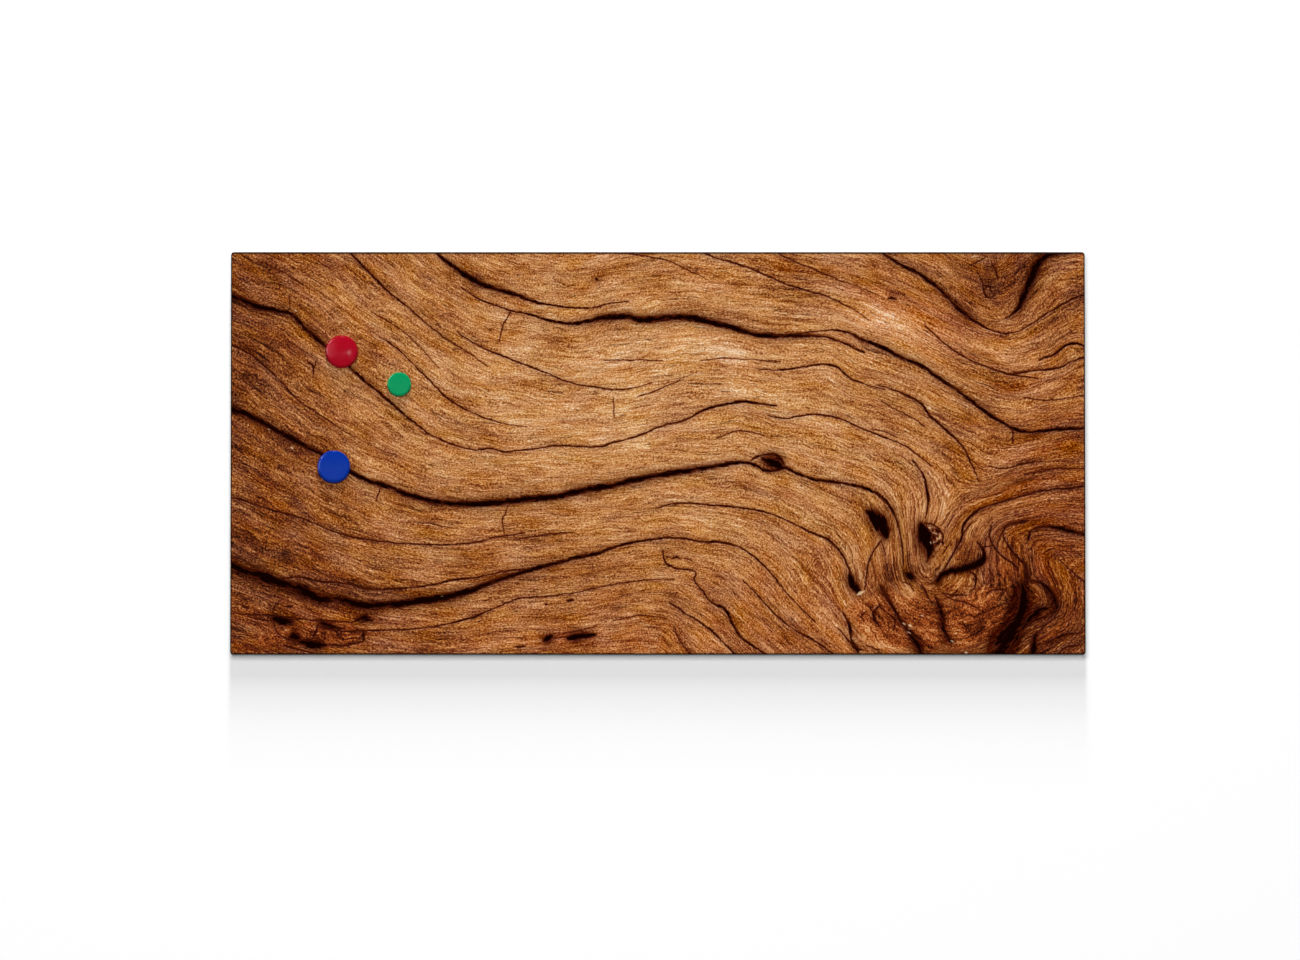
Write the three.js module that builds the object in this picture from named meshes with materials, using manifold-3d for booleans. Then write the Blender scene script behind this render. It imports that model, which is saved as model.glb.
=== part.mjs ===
// A magnetic memo board for the wall. A folded steel tray carries a printed film on its face. A
// filler core and a back panel fill the tray behind its return lips. Two keyhole hangers are
// riveted to the panel, four rubber pads keep the board off the wall, and three magnets, each a
// ferrite disc in a plastic cap, sit on the film.
//
// Millimetres. +X runs to the right, +Z up, and the printed face looks along -Y. The origin is the
// point of the wall behind the middle of the board, so the wall is the plane y = 0.

import * as THREE from "three";
import { mergeVertices } from "three/addons/utils/BufferGeometryUtils.js";
import Module from "manifold-3d";

// Steel tray
const boardWidth = 780;
const boardHeight = 370;
const trayDepth = 15;
const cornerRadius = 2.5;
const sheetThickness = 0.7;
const frontBendRadius = 1.6;
const rearBendRadius = 1.3;
const lipWidth = 9;
const mitreGap = 0.8;
const mitreLand = 1;
const wallGap = 6;

// Printed film on the tray's face
const filmThickness = 0.25;
const glueThickness = 0.05;
const filmWrapDegrees = 80;

// Filler core and back panel
const panelThickness = 3;
const panelClearance = 0.8;
const coreClearance = 0.6;
const coreGlueGap = 0.3;

// Keyhole hangers
const hangerInset = 90;
const hangerDrop = 45;
const hangerSheet = 1;
const hangerHeight = 30;
const hangerFlange = 14;
const hangerBendRadius = 1.6;
const hangerCornerRadius = 4;
const hangerWallGap = 0.8;
const bridgeWidth = 28;
const entryDiameter = 10;
const entryDrop = 5;
const slotWidth = 5;
const slotTravel = 11;

// Blind rivets
const rivetDiameter = 3.2;
const rivetClearance = 0.3;
const rivetHeadDiameter = 6.4;
const rivetHeadHeight = 1.2;
const rivetDimpleDiameter = 1.8;
const rivetDimpleDepth = 0.5;
const rivetTailDiameter = 5;
const rivetTailLength = 2.2;
const rivetPocketClearance = 1;

// Rubber wall pads
const padBaseDiameter = 16;
const padTopDiameter = 12;
const padEdgeRadius = 1.5;
const padLipClearance = 6;

// Magnets
const capWall = 1.5;
const capFootChamfer = 0.3;
const ferriteThickness = 4;
const ferriteChamfer = 0.4;
const ferriteClearance = 0.3;
const magnetKinds = {
  red: { diameter: 30, height: 8, edgeRadius: 3, crown: 1.1, color: 0xb3082c },
  green: { diameter: 22, height: 7, edgeRadius: 1.4, crown: 0.2, color: 0x0aa05c },
  blue: { diameter: 30, height: 8, edgeRadius: 1.8, crown: 0.3, color: 0x0b35a4 },
};

// Where each magnet sits, as shares of the half width and half height of the board
const magnetPlaceShares = {
  red: [-0.741, 0.502],
  green: [-0.606, 0.339],
  blue: [-0.759, -0.072],
};

// Facet counts, and how far a cutting body runs past what it cuts
const cornerSteps = 5;
const bendSteps = 4;
const capSteps = 40;
const padSteps = 20;
const rivetSteps = 12;
const arcSteps = 5;
const keyholeSteps = 16;
const cutOverrun = 1;
const leastRadius = 0.2;

// Planes across the depth, from the wall to the front
const panelRearY = -wallGap - sheetThickness;
const panelFrontY = panelRearY - panelThickness;
const trayRearY = -wallGap;
const trayFrontY = -wallGap - trayDepth;
const filmRearY = trayFrontY - glueThickness;
const filmFrontY = filmRearY - filmThickness;

const wasm = await Module();
wasm.setup();

// Points of an arc, from one angle to another, as [x, y] pairs
function arc(centreX, centreY, radius, fromDegrees, toDegrees, steps) {
  return Array.from({ length: steps + 1 }, (_, i) => {
    const angle = THREE.MathUtils.degToRad(fromDegrees + ((toDegrees - fromDegrees) * i) / steps);
    return [centreX + radius * Math.cos(angle), centreY + radius * Math.sin(angle)];
  });
}

// A geometry with its positions alone, and with shared vertices
function positionsOnly(geometry) {
  geometry.deleteAttribute("normal");
  geometry.deleteAttribute("uv");
  return mergeVertices(geometry);
}

function toSolid(geometry) {
  const merged = positionsOnly(geometry);
  return new wasm.Manifold(
    new wasm.Mesh({
      numProp: 3,
      vertProperties: new Float32Array(merged.getAttribute("position").array),
      triVerts: new Uint32Array(merged.index.array),
    }),
  );
}

function toGeometry(solid) {
  const mesh = solid.getMesh();
  const geometry = new THREE.BufferGeometry();
  geometry.setAttribute("position", new THREE.BufferAttribute(mesh.vertProperties, mesh.numProp));
  geometry.setIndex(new THREE.BufferAttribute(mesh.triVerts, 1));
  geometry.computeVertexNormals();
  return geometry;
}

function cut(geometry, tools) {
  return toGeometry(tools.reduce((rest, tool) => rest.subtract(toSolid(tool)), toSolid(geometry)));
}

// The outline of the board at an inset from its edge, counter-clockwise from the lower right
// corner as seen from the front. The corner radius shrinks with the inset.
function boardOutline(inset) {
  const radius = Math.max(cornerRadius - inset, leastRadius);
  const reachX = boardWidth / 2 - inset - radius;
  const reachZ = boardHeight / 2 - inset - radius;
  return [
    ...arc(reachX, -reachZ, radius, -90, 0, cornerSteps),
    ...arc(reachX, reachZ, radius, 0, 90, cornerSteps),
    ...arc(-reachX, reachZ, radius, 90, 180, cornerSteps),
    ...arc(-reachX, -reachZ, radius, 180, 270, cornerSteps),
  ];
}

// A closed body from a section carried once round the board. The section is a list of
// [inset, y] pairs that starts at the front and ends at the back. Its first and last outlines are
// closed by flat faces, each a fan from the lower right corner.
function bodyRoundBoard(section) {
  const rings = section.map(([inset, y]) => boardOutline(inset).map(([x, z]) => [x, y, z]));
  const count = rings[0].length;
  const triangles = [];
  for (let ring = 0; ring + 1 < rings.length; ring++) {
    for (let j = 0; j < count; j++) {
      const a = ring * count + j;
      const b = ring * count + ((j + 1) % count);
      triangles.push([a, a + count, b], [b, a + count, b + count]);
    }
  }
  const last = (rings.length - 1) * count;
  for (let j = 1; j + 1 < count; j++) {
    triangles.push([0, j, j + 1], [last, last + j + 1, last + j]);
  }
  const geometry = new THREE.BufferGeometry();
  geometry.setAttribute("position", new THREE.Float32BufferAttribute(rings.flat(2), 3));
  geometry.setIndex(triangles.flat());
  geometry.computeVertexNormals();
  return geometry;
}

// A flat shape drawn in X and Z, given thickness along Y between two planes
function plate(shape, rearY, frontY) {
  const geometry = new THREE.ExtrudeGeometry(shape, {
    depth: rearY - frontY,
    bevelEnabled: false,
  });
  geometry.rotateX(Math.PI / 2);
  geometry.translate(0, rearY, 0);
  return geometry;
}

function shapeOf(points) {
  return new THREE.Shape(points.map(([x, y]) => new THREE.Vector2(x, y)));
}

// A round rod along Y between two planes
function rod(radius, rearY, frontY, x, z) {
  const geometry = new THREE.CylinderGeometry(radius, radius, rearY - frontY, rivetSteps);
  geometry.translate(x, (rearY + frontY) / 2, z);
  return geometry;
}

// A body turned round the Y axis. The profile is a list of [radius, y] pairs from axis to axis,
// and it runs from the front to the back.
function turned(profile, steps) {
  const points = profile.map(([radius, y]) => new THREE.Vector2(radius, y));
  return new THREE.LatheGeometry(points, steps);
}

// Steel tray: the face, four flanges, and return lips with a mitre slit at each corner
function traySection() {
  const frontCentreY = trayFrontY + frontBendRadius;
  const rearCentreY = trayRearY - rearBendRadius;
  const frontInside = frontBendRadius - sheetThickness;
  const rearInside = rearBendRadius - sheetThickness;
  return [
    ...arc(frontBendRadius, frontCentreY, frontBendRadius, 270, 180, bendSteps),
    ...arc(rearBendRadius, rearCentreY, rearBendRadius, 180, 90, bendSteps),
    [lipWidth, trayRearY],
    [lipWidth, trayRearY - sheetThickness],
    ...arc(rearBendRadius, rearCentreY, rearInside, 90, 180, bendSteps),
    ...arc(frontBendRadius, frontCentreY, frontInside, 180, 270, bendSteps),
  ];
}

// A slit along the diagonal of one corner, through the lip but not through the bend outside it
function mitreSlit(sideX, sideZ) {
  const nearInset = rearBendRadius + mitreLand;
  const farInset = lipWidth + cutOverrun;
  const length = (farInset - nearInset) * Math.SQRT2;
  const depth = sheetThickness + 2 * cutOverrun;
  const middleInset = (nearInset + farInset) / 2;
  const slit = new THREE.BoxGeometry(length, depth, mitreGap);
  slit.rotateY((-sideX * sideZ * Math.PI) / 4);
  slit.translate(
    sideX * (boardWidth / 2 - middleInset),
    trayRearY - sheetThickness / 2,
    sideZ * (boardHeight / 2 - middleInset),
  );
  return slit;
}

const sides = [-1, 1];
const corners = sides.flatMap((sideX) => sides.map((sideZ) => [sideX, sideZ]));

function trayGeometry() {
  return cut(
    bodyRoundBoard(traySection()),
    corners.map(([sideX, sideZ]) => mitreSlit(sideX, sideZ)),
  );
}

// Printed film: over the face and most of the way round the front bend
function filmGeometry() {
  const centreY = trayFrontY + frontBendRadius;
  const innerRadius = frontBendRadius + glueThickness;
  const outerRadius = innerRadius + filmThickness;
  const endDegrees = 270 - filmWrapDegrees;
  return bodyRoundBoard([
    ...arc(frontBendRadius, centreY, outerRadius, 270, endDegrees, bendSteps),
    ...arc(frontBendRadius, centreY, innerRadius, endDegrees, 270, bendSteps),
  ]);
}

// Hangers: where each stands, and where its two rivets go
const hangerZ = boardHeight / 2 - hangerDrop;
const hangerHalfWidth = bridgeWidth / 2 + hangerFlange;
const rivetReach = (bridgeWidth / 2 + hangerHalfWidth) / 2;
const hangerPlaces = { left: -(boardWidth / 2 - hangerInset), right: boardWidth / 2 - hangerInset };
const rivetPlaces = Object.entries(hangerPlaces).flatMap(([side, x]) => [
  { name: `rivet_${side}_outer`, x: x + Math.sign(x) * rivetReach },
  { name: `rivet_${side}_inner`, x: x - Math.sign(x) * rivetReach },
]);

// Back panel, drilled for the rivets
function panelGeometry() {
  const inset = sheetThickness + panelClearance;
  const panel = bodyRoundBoard([
    [inset, panelFrontY],
    [inset, panelRearY],
  ]);
  const drill = rivetDiameter / 2 + rivetClearance;
  return cut(
    panel,
    rivetPlaces.map(({ x }) => {
      return rod(drill, panelRearY + cutOverrun, panelFrontY - cutOverrun, x, hangerZ);
    }),
  );
}

// Filler core, with a blind pocket for the tail of each rivet
function coreGeometry() {
  const inset = sheetThickness + coreClearance;
  const core = bodyRoundBoard([
    [inset, trayFrontY + sheetThickness + coreGlueGap],
    [inset, panelFrontY],
  ]);
  const pocket = rivetTailDiameter / 2 + rivetPocketClearance;
  const floorY = panelFrontY - rivetTailLength - rivetPocketClearance;
  return cut(
    core,
    rivetPlaces.map(({ x }) => rod(pocket, panelFrontY + cutOverrun, floorY, x, hangerZ)),
  );
}

// The outline of a strip of sheet bent at right angles, from the corners of its centre line.
// Each bend has the same centre line radius.
function bentStrip(centreLine, thickness, bendRadius) {
  const corner = centreLine.map(([x, y]) => new THREE.Vector2(x, y));
  const left = [];
  const right = [];
  const add = (point, normal) => {
    left.push(point.clone().addScaledVector(normal, thickness / 2));
    right.push(point.clone().addScaledVector(normal, -thickness / 2));
  };
  const direction = (i) => corner[i + 1].clone().sub(corner[i]).normalize();
  const leftOf = (v) => new THREE.Vector2(-v.y, v.x);
  add(corner[0], leftOf(direction(0)));
  for (let i = 1; i + 1 < corner.length; i++) {
    const before = direction(i - 1);
    const after = direction(i);
    const turn = Math.sign(before.cross(after));
    const start = corner[i].clone().addScaledVector(before, -bendRadius);
    const centre = start.clone().addScaledVector(leftOf(before), turn * bendRadius);
    for (let step = 0; step <= bendSteps; step++) {
      const angle = (turn * (Math.PI / 2) * step) / bendSteps;
      const normal = leftOf(before).rotateAround(new THREE.Vector2(), angle);
      add(centre.clone().addScaledVector(normal, -turn * bendRadius), normal);
    }
  }
  add(corner.at(-1), leftOf(direction(corner.length - 2)));
  return new THREE.Shape([...left, ...right.reverse()]);
}

// The keyhole: a round entry for a screw head, and above it a slot for the screw's shank
function keyholeShape() {
  const entryRadius = entryDiameter / 2;
  const slotRadius = slotWidth / 2;
  const meet = THREE.MathUtils.radToDeg(Math.acos(slotRadius / entryRadius));
  return shapeOf([
    ...arc(0, -entryDrop, entryRadius, 180 - meet, 360 + meet, keyholeSteps),
    ...arc(0, slotTravel - entryDrop, slotRadius, 0, 180, keyholeSteps),
  ]);
}

function roundedRectangle(halfWidth, halfHeight, radius) {
  return shapeOf([
    ...arc(halfWidth - radius, radius - halfHeight, radius, -90, 0, arcSteps),
    ...arc(halfWidth - radius, halfHeight - radius, radius, 0, 90, arcSteps),
    ...arc(radius - halfWidth, halfHeight - radius, radius, 90, 180, arcSteps),
    ...arc(radius - halfWidth, radius - halfHeight, radius, 180, 270, arcSteps),
  ]);
}

// A hat section of sheet: two flanges on the back panel and a raised bridge with the keyhole
function hangerGeometry() {
  const flangeY = panelRearY + hangerSheet / 2;
  const bridgeY = -hangerWallGap - hangerSheet / 2;
  const webX = bridgeWidth / 2 - hangerSheet / 2;
  const strip = bentStrip(
    [
      [-hangerHalfWidth, flangeY],
      [-webX, flangeY],
      [-webX, bridgeY],
      [webX, bridgeY],
      [webX, flangeY],
      [hangerHalfWidth, flangeY],
    ],
    hangerSheet,
    hangerBendRadius - hangerSheet / 2,
  );
  const section = new THREE.ExtrudeGeometry(strip, { depth: hangerHeight, bevelEnabled: false });
  section.translate(0, 0, -hangerHeight / 2);
  const frontY = panelRearY - cutOverrun;
  const rearY = cutOverrun;
  const outline = roundedRectangle(hangerHalfWidth, hangerHeight / 2, hangerCornerRadius);
  const blank = toSolid(section).intersect(toSolid(plate(outline, rearY, frontY)));
  const drill = rivetDiameter / 2 + rivetClearance;
  const tools = [
    plate(keyholeShape(), rearY, bridgeY - hangerSheet / 2 - cutOverrun),
    ...sides.map((side) => {
      return rod(drill, flangeY + hangerSheet / 2 + cutOverrun, frontY, side * rivetReach, 0);
    }),
  ];
  return toGeometry(tools.reduce((rest, tool) => rest.subtract(toSolid(tool)), blank));
}

// A set blind rivet: the upset tail in front of the panel, the shank, and a domed head with the
// dimple that the pulled pin leaves
function rivetGeometry() {
  const shank = rivetDiameter / 2;
  const tail = rivetTailDiameter / 2;
  const head = rivetHeadDiameter / 2;
  const dimple = rivetDimpleDiameter / 2;
  const headY = panelRearY + hangerSheet;
  const tailFrontY = panelFrontY - rivetTailLength;
  const tailRound = rivetTailLength / 2;
  const domeHeight = (share) => rivetHeadHeight * (1 - share * share);
  const domeShares = [1, 0.85, 0.65, dimple / head];
  return turned(
    [
      [0, tailFrontY],
      ...arc(tail - tailRound, tailFrontY + tailRound, tailRound, -90, 0, arcSteps),
      [tail, panelFrontY],
      [shank, panelFrontY],
      [shank, headY],
      ...domeShares.map((share) => [head * share, headY + domeHeight(share)]),
      [dimple, headY + rivetHeadHeight - rivetDimpleDepth],
      [0, headY + rivetHeadHeight - rivetDimpleDepth],
    ],
    rivetSteps,
  );
}

// A rubber pad between the back panel and the wall, tapered, with a rounded rim
function padGeometry() {
  const top = padTopDiameter / 2;
  return turned(
    [
      [0, panelRearY],
      [padBaseDiameter / 2, panelRearY],
      ...arc(top - padEdgeRadius, -padEdgeRadius, padEdgeRadius, 0, 90, arcSteps),
      [0, 0],
    ],
    padSteps,
  );
}

// A magnet's cap: a rounded and slightly crowned button, hollow on the side of the board.
// Distances from the board run along -Y, so they are negative here.
function capGeometry({ diameter, height, edgeRadius, crown }) {
  const radius = diameter / 2;
  const shoulder = height - crown;
  const flat = radius - edgeRadius;
  const pocket = radius - capWall;
  const floor = ferriteThickness + ferriteClearance;
  const crownShares = [0, 0.35, 0.7];
  return turned(
    [
      ...crownShares.map((share) => [flat * share, -height + crown * share * share]),
      ...arc(flat, edgeRadius - shoulder, edgeRadius, -90, 0, arcSteps),
      [radius, -capFootChamfer],
      [radius - capFootChamfer, 0],
      [pocket, 0],
      [pocket, -floor],
      [0, -floor],
    ],
    capSteps,
  );
}

// A ferrite disc that fills the pocket of its cap
function ferriteGeometry({ diameter }) {
  const radius = diameter / 2 - capWall - ferriteClearance;
  return turned(
    [
      [0, -ferriteThickness],
      [radius - ferriteChamfer, -ferriteThickness],
      [radius, ferriteChamfer - ferriteThickness],
      [radius, -ferriteChamfer],
      [radius - ferriteChamfer, 0],
      [0, 0],
    ],
    capSteps,
  );
}

function metal(color, roughness) {
  return new THREE.MeshStandardMaterial({ color, roughness, metalness: 1 });
}

function solidColor(color, roughness) {
  return new THREE.MeshStandardMaterial({ color, roughness, metalness: 0 });
}

const board = new THREE.Group();

function addPiece(parent, name, geometry, material) {
  const piece = new THREE.Mesh(geometry, material);
  piece.name = name;
  parent.add(piece);
  return piece;
}

addPiece(board, "steel_tray", trayGeometry(), metal(0x8f9092, 0.45));
addPiece(board, "printed_film", filmGeometry(), solidColor(0x9c5f32, 0.55));
addPiece(board, "filler_core", coreGeometry(), solidColor(0xb79a72, 0.9));
addPiece(board, "back_panel", panelGeometry(), solidColor(0x6d4a30, 0.8));

for (const [side, x] of Object.entries(hangerPlaces)) {
  const hanger = addPiece(board, `hanger_${side}`, hangerGeometry(), metal(0xc3c6c9, 0.35));
  hanger.position.set(x, 0, hangerZ);
}

for (const { name, x } of rivetPlaces) {
  const rivet = addPiece(board, name, rivetGeometry(), metal(0xb9bbbd, 0.4));
  rivet.position.set(x, 0, hangerZ);
}

const padInset = lipWidth + padLipClearance + padBaseDiameter / 2;
for (const [sideX, sideZ] of corners) {
  const name = `wall_pad_${sideZ > 0 ? "upper" : "lower"}_${sideX > 0 ? "right" : "left"}`;
  const pad = addPiece(board, name, padGeometry(), solidColor(0x1d1d1e, 0.85));
  pad.position.set(sideX * (boardWidth / 2 - padInset), 0, sideZ * (boardHeight / 2 - padInset));
}

for (const [name, kind] of Object.entries(magnetKinds)) {
  const [shareX, shareZ] = magnetPlaceShares[name];
  const magnet = new THREE.Group();
  magnet.position.set((shareX * boardWidth) / 2, filmFrontY, (shareZ * boardHeight) / 2);
  addPiece(magnet, `${name}_magnet_cap`, capGeometry(kind), solidColor(kind.color, 0.3));
  addPiece(magnet, `${name}_magnet_ferrite`, ferriteGeometry(kind), solidColor(0x2b2b2d, 0.6));
  board.add(magnet);
}

export default board;
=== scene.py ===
# %% [markdown]
# # A magnetic memo board, dressed in Blender
#
# The board is a shallow steel tray that hangs on a wall. Its face carries a printed film with the
# picture of old, cracked wood, and three magnets in plastic caps sit on the film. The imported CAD
# model comes in as a fixed frame. Each cell below adds one finish or one finer piece to it.

# %% Load the frame
import math

import bpy
import numpy as np
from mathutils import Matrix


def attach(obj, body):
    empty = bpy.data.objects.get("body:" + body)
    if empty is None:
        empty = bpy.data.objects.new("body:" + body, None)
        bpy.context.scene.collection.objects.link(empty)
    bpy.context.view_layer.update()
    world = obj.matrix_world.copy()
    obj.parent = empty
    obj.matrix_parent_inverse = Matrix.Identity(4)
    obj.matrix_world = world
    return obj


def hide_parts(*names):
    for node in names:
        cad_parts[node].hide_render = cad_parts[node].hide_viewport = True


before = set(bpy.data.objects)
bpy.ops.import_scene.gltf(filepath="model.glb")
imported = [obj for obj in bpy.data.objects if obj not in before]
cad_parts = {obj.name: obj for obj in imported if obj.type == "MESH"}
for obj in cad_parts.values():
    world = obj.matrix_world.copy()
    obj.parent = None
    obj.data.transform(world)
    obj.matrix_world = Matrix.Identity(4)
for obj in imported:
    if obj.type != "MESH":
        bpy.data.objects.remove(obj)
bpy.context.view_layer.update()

# %% [markdown]
# ## The view
#
# The photograph was taken from far away with a long lens, a little below the board, so its sides
# stay parallel and a sliver of its underside shows. The face is 1.0949 pixels per millimetre. A
# point of the photograph can then be turned into a point of the face, which places the cracks.

# %% Camera
MM = 0.001
PHOTO_WIDTH = 1300
PHOTO_HEIGHT = 960
PIXELS_PER_MM = 1.0949
FACE_CENTRE_PIXEL = (657.9, 453.0)
CAMERA_ELEVATION = math.radians(-7)
LENS_MM = 600
SENSOR_MM = 36
FACE_Y_MM = -21.3
CLIP_NEAR = 0.1
CLIP_FAR = 200

camera_distance = PHOTO_WIDTH * LENS_MM / (SENSOR_MM * PIXELS_PER_MM) * MM
back_y = -math.cos(CAMERA_ELEVATION)
back_z = math.sin(CAMERA_ELEVATION)
shift_right = (PHOTO_WIDTH / 2 - FACE_CENTRE_PIXEL[0]) / PIXELS_PER_MM * MM
shift_up = (FACE_CENTRE_PIXEL[1] - PHOTO_HEIGHT / 2) / PIXELS_PER_MM * MM
aim = (shift_right, FACE_Y_MM * MM + shift_up * back_z, shift_up * -back_y)

bpy.ops.object.select_all(action="DESELECT")
bpy.ops.object.camera_add(
    location=(aim[0], aim[1] + camera_distance * back_y, aim[2] + camera_distance * back_z),
    rotation=(math.pi / 2 - CAMERA_ELEVATION, 0, 0),
)
camera = bpy.context.object
camera.name = "camera"
camera.data.lens = LENS_MM
camera.data.sensor_width = SENSOR_MM
camera.data.clip_start = CLIP_NEAR
camera.data.clip_end = CLIP_FAR
bpy.context.scene.camera = camera
bpy.context.scene.view_settings.view_transform = "Standard"
print("camera at", [round(v, 3) for v in camera.location])


def face_point(pixel_x, pixel_y):
    """The point of the board's face, in millimetres right of and above its middle."""
    return (
        (pixel_x - FACE_CENTRE_PIXEL[0]) / PIXELS_PER_MM,
        (FACE_CENTRE_PIXEL[1] - pixel_y) / (PIXELS_PER_MM * math.cos(CAMERA_ELEVATION)),
    )


# %% [markdown]
# ## Two helpers for pieces
#
# Operators act on whatever is selected, so each piece starts by clearing the selection. A finished
# piece rides on a body of the frame, and may stand for CAD nodes.

# %% Helpers for pieces


def pick(piece):
    """Leaves this piece as the only selected and active one."""
    bpy.ops.object.select_all(action="DESELECT")
    piece.select_set(True)
    bpy.context.view_layer.objects.active = piece


def settle(piece, body, slot, *nodes):
    """The finished piece rides on a body and stands for CAD nodes."""
    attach(piece, body)
    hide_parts(*nodes)
    print(f"{piece.name}: {len(piece.data.polygons)} faces, rides on {body}")


# %% [markdown]
# ## The printed film
#
# On the real board a thin printed film is glued over the tray's face and folded round its front
# edge. A fine grid is the flat part, because the picture is carried by values at its points. The
# rim of the grid is then extruded step by step round the fold, back along the inside of the film,
# and closed. That gives the film its real thickness and a soft front edge.

# %% Film: the flat part and its folded rim
HALF_WIDTH_MM = 390
HALF_HEIGHT_MM = 185
CORNER_RADIUS_MM = 2.5
FOLD_INSET_MM = 1.6
FOLD_CENTRE_Y_MM = -19.4
FOLD_OUTER_MM = 1.9
FOLD_INNER_MM = 1.65
FOLD_DEGREES = 80
FOLD_STEPS = 4
FILM_COLUMNS = 416
FILM_ROWS = 196
SAME_PLACE_MM = 0.01
FILM_SHARP_DEGREES = 40

flat_x = HALF_WIDTH_MM - FOLD_INSET_MM
flat_z = HALF_HEIGHT_MM - FOLD_INSET_MM
face_middle = (0, FACE_Y_MM * MM, 0)

bpy.ops.object.select_all(action="DESELECT")
bpy.ops.mesh.primitive_grid_add(x_subdivisions=FILM_COLUMNS, y_subdivisions=FILM_ROWS, size=1)
film = bpy.context.object
film.name = "film"
bpy.ops.object.mode_set(mode="EDIT")
bpy.ops.mesh.select_all(action="SELECT")
bpy.ops.transform.resize(value=(2 * flat_x * MM, 2 * flat_z * MM, 1), center_override=(0, 0, 0))
bpy.ops.transform.rotate(value=-math.pi / 2, orient_axis="X", center_override=(0, 0, 0))
bpy.ops.transform.translate(value=face_middle)
bpy.ops.mesh.select_mode(type="EDGE")
bpy.ops.mesh.select_all(action="DESELECT")
bpy.ops.mesh.select_non_manifold(extend=False)

turns = [FOLD_DEGREES * step / FOLD_STEPS for step in range(FOLD_STEPS + 1)]
rings = [(FOLD_OUTER_MM, turn) for turn in turns] + [(FOLD_INNER_MM, turn) for turn in turns[::-1]]


def ring_place(radius, degrees):
    """How far inside the board's outline, and how deep, a ring of the fold lies."""
    turn = math.radians(degrees)
    return FOLD_INSET_MM - radius * math.sin(turn), FOLD_CENTRE_Y_MM - radius * math.cos(turn)


for before, after in zip(rings, rings[1:]):
    inset_before, y_before = ring_place(*before)
    inset_after, y_after = ring_place(*after)
    wider = (HALF_WIDTH_MM - inset_after) / (HALF_WIDTH_MM - inset_before)
    taller = (HALF_HEIGHT_MM - inset_after) / (HALF_HEIGHT_MM - inset_before)
    bpy.ops.mesh.extrude_edges_move()
    bpy.ops.transform.resize(value=(wider, 1, taller), center_override=(0, 0, 0))
    bpy.ops.transform.translate(value=(0, (y_after - y_before) * MM, 0))
bpy.ops.mesh.edge_face_add()
bpy.ops.mesh.select_all(action="SELECT")
bpy.ops.mesh.normals_make_consistent(inside=False)
bpy.ops.object.mode_set(mode="OBJECT")

points = np.empty((len(film.data.vertices), 3))
film.data.vertices.foreach_get("co", points.ravel())
points /= MM
print("film:", len(points), "points, box", points.min(0).round(3), points.max(0).round(3))

# %% [markdown]
# ## Where each point of the film lies on the print
#
# The film was printed flat and folded afterwards. A point on the fold therefore lies on the print
# as far beyond the flat part as the length of the arc it has gone round. After that is worked
# out, the square corners of the folded rim are rounded like the tray's.

# %% Print place of every point, and the rounded corners
inset = np.minimum(HALF_WIDTH_MM - abs(points[:, 0]), HALF_HEIGHT_MM - abs(points[:, 2]))
on_fold = (inset < FOLD_INSET_MM + SAME_PLACE_MM) & (points[:, 1] > FACE_Y_MM - SAME_PLACE_MM)
bend_turn = np.arctan2(FOLD_INSET_MM - inset, FOLD_CENTRE_Y_MM - points[:, 1])
beyond = np.where(on_fold, FOLD_OUTER_MM * np.clip(bend_turn, 0, None), 0)
inset_flat = np.where(on_fold, inset, FOLD_INSET_MM)
print_x = points[:, 0] / (HALF_WIDTH_MM - inset_flat) * (flat_x + beyond)
print_z = points[:, 2] / (HALF_HEIGHT_MM - inset_flat) * (flat_z + beyond)

radius = CORNER_RADIUS_MM - inset_flat
corner_x = abs(points[:, 0]) - (HALF_WIDTH_MM - inset_flat - radius)
corner_z = abs(points[:, 2]) - (HALF_HEIGHT_MM - inset_flat - radius)
in_corner = on_fold & (corner_x > 0) & (corner_z > 0)
from_corner = np.hypot(corner_x, corner_z)
shrink = np.zeros(len(points))
shrink[in_corner] = 1 - radius[in_corner] / from_corner[in_corner]
points[:, 0] -= np.sign(points[:, 0]) * corner_x * shrink
points[:, 2] -= np.sign(points[:, 2]) * corner_z * shrink
film.data.vertices.foreach_set("co", (points * MM).ravel())
film.data.update()
pick(film)
bpy.ops.object.shade_smooth_by_angle(angle=math.radians(FILM_SHARP_DEGREES))
print("rounded", int(in_corner.sum()), "corner points")
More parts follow.
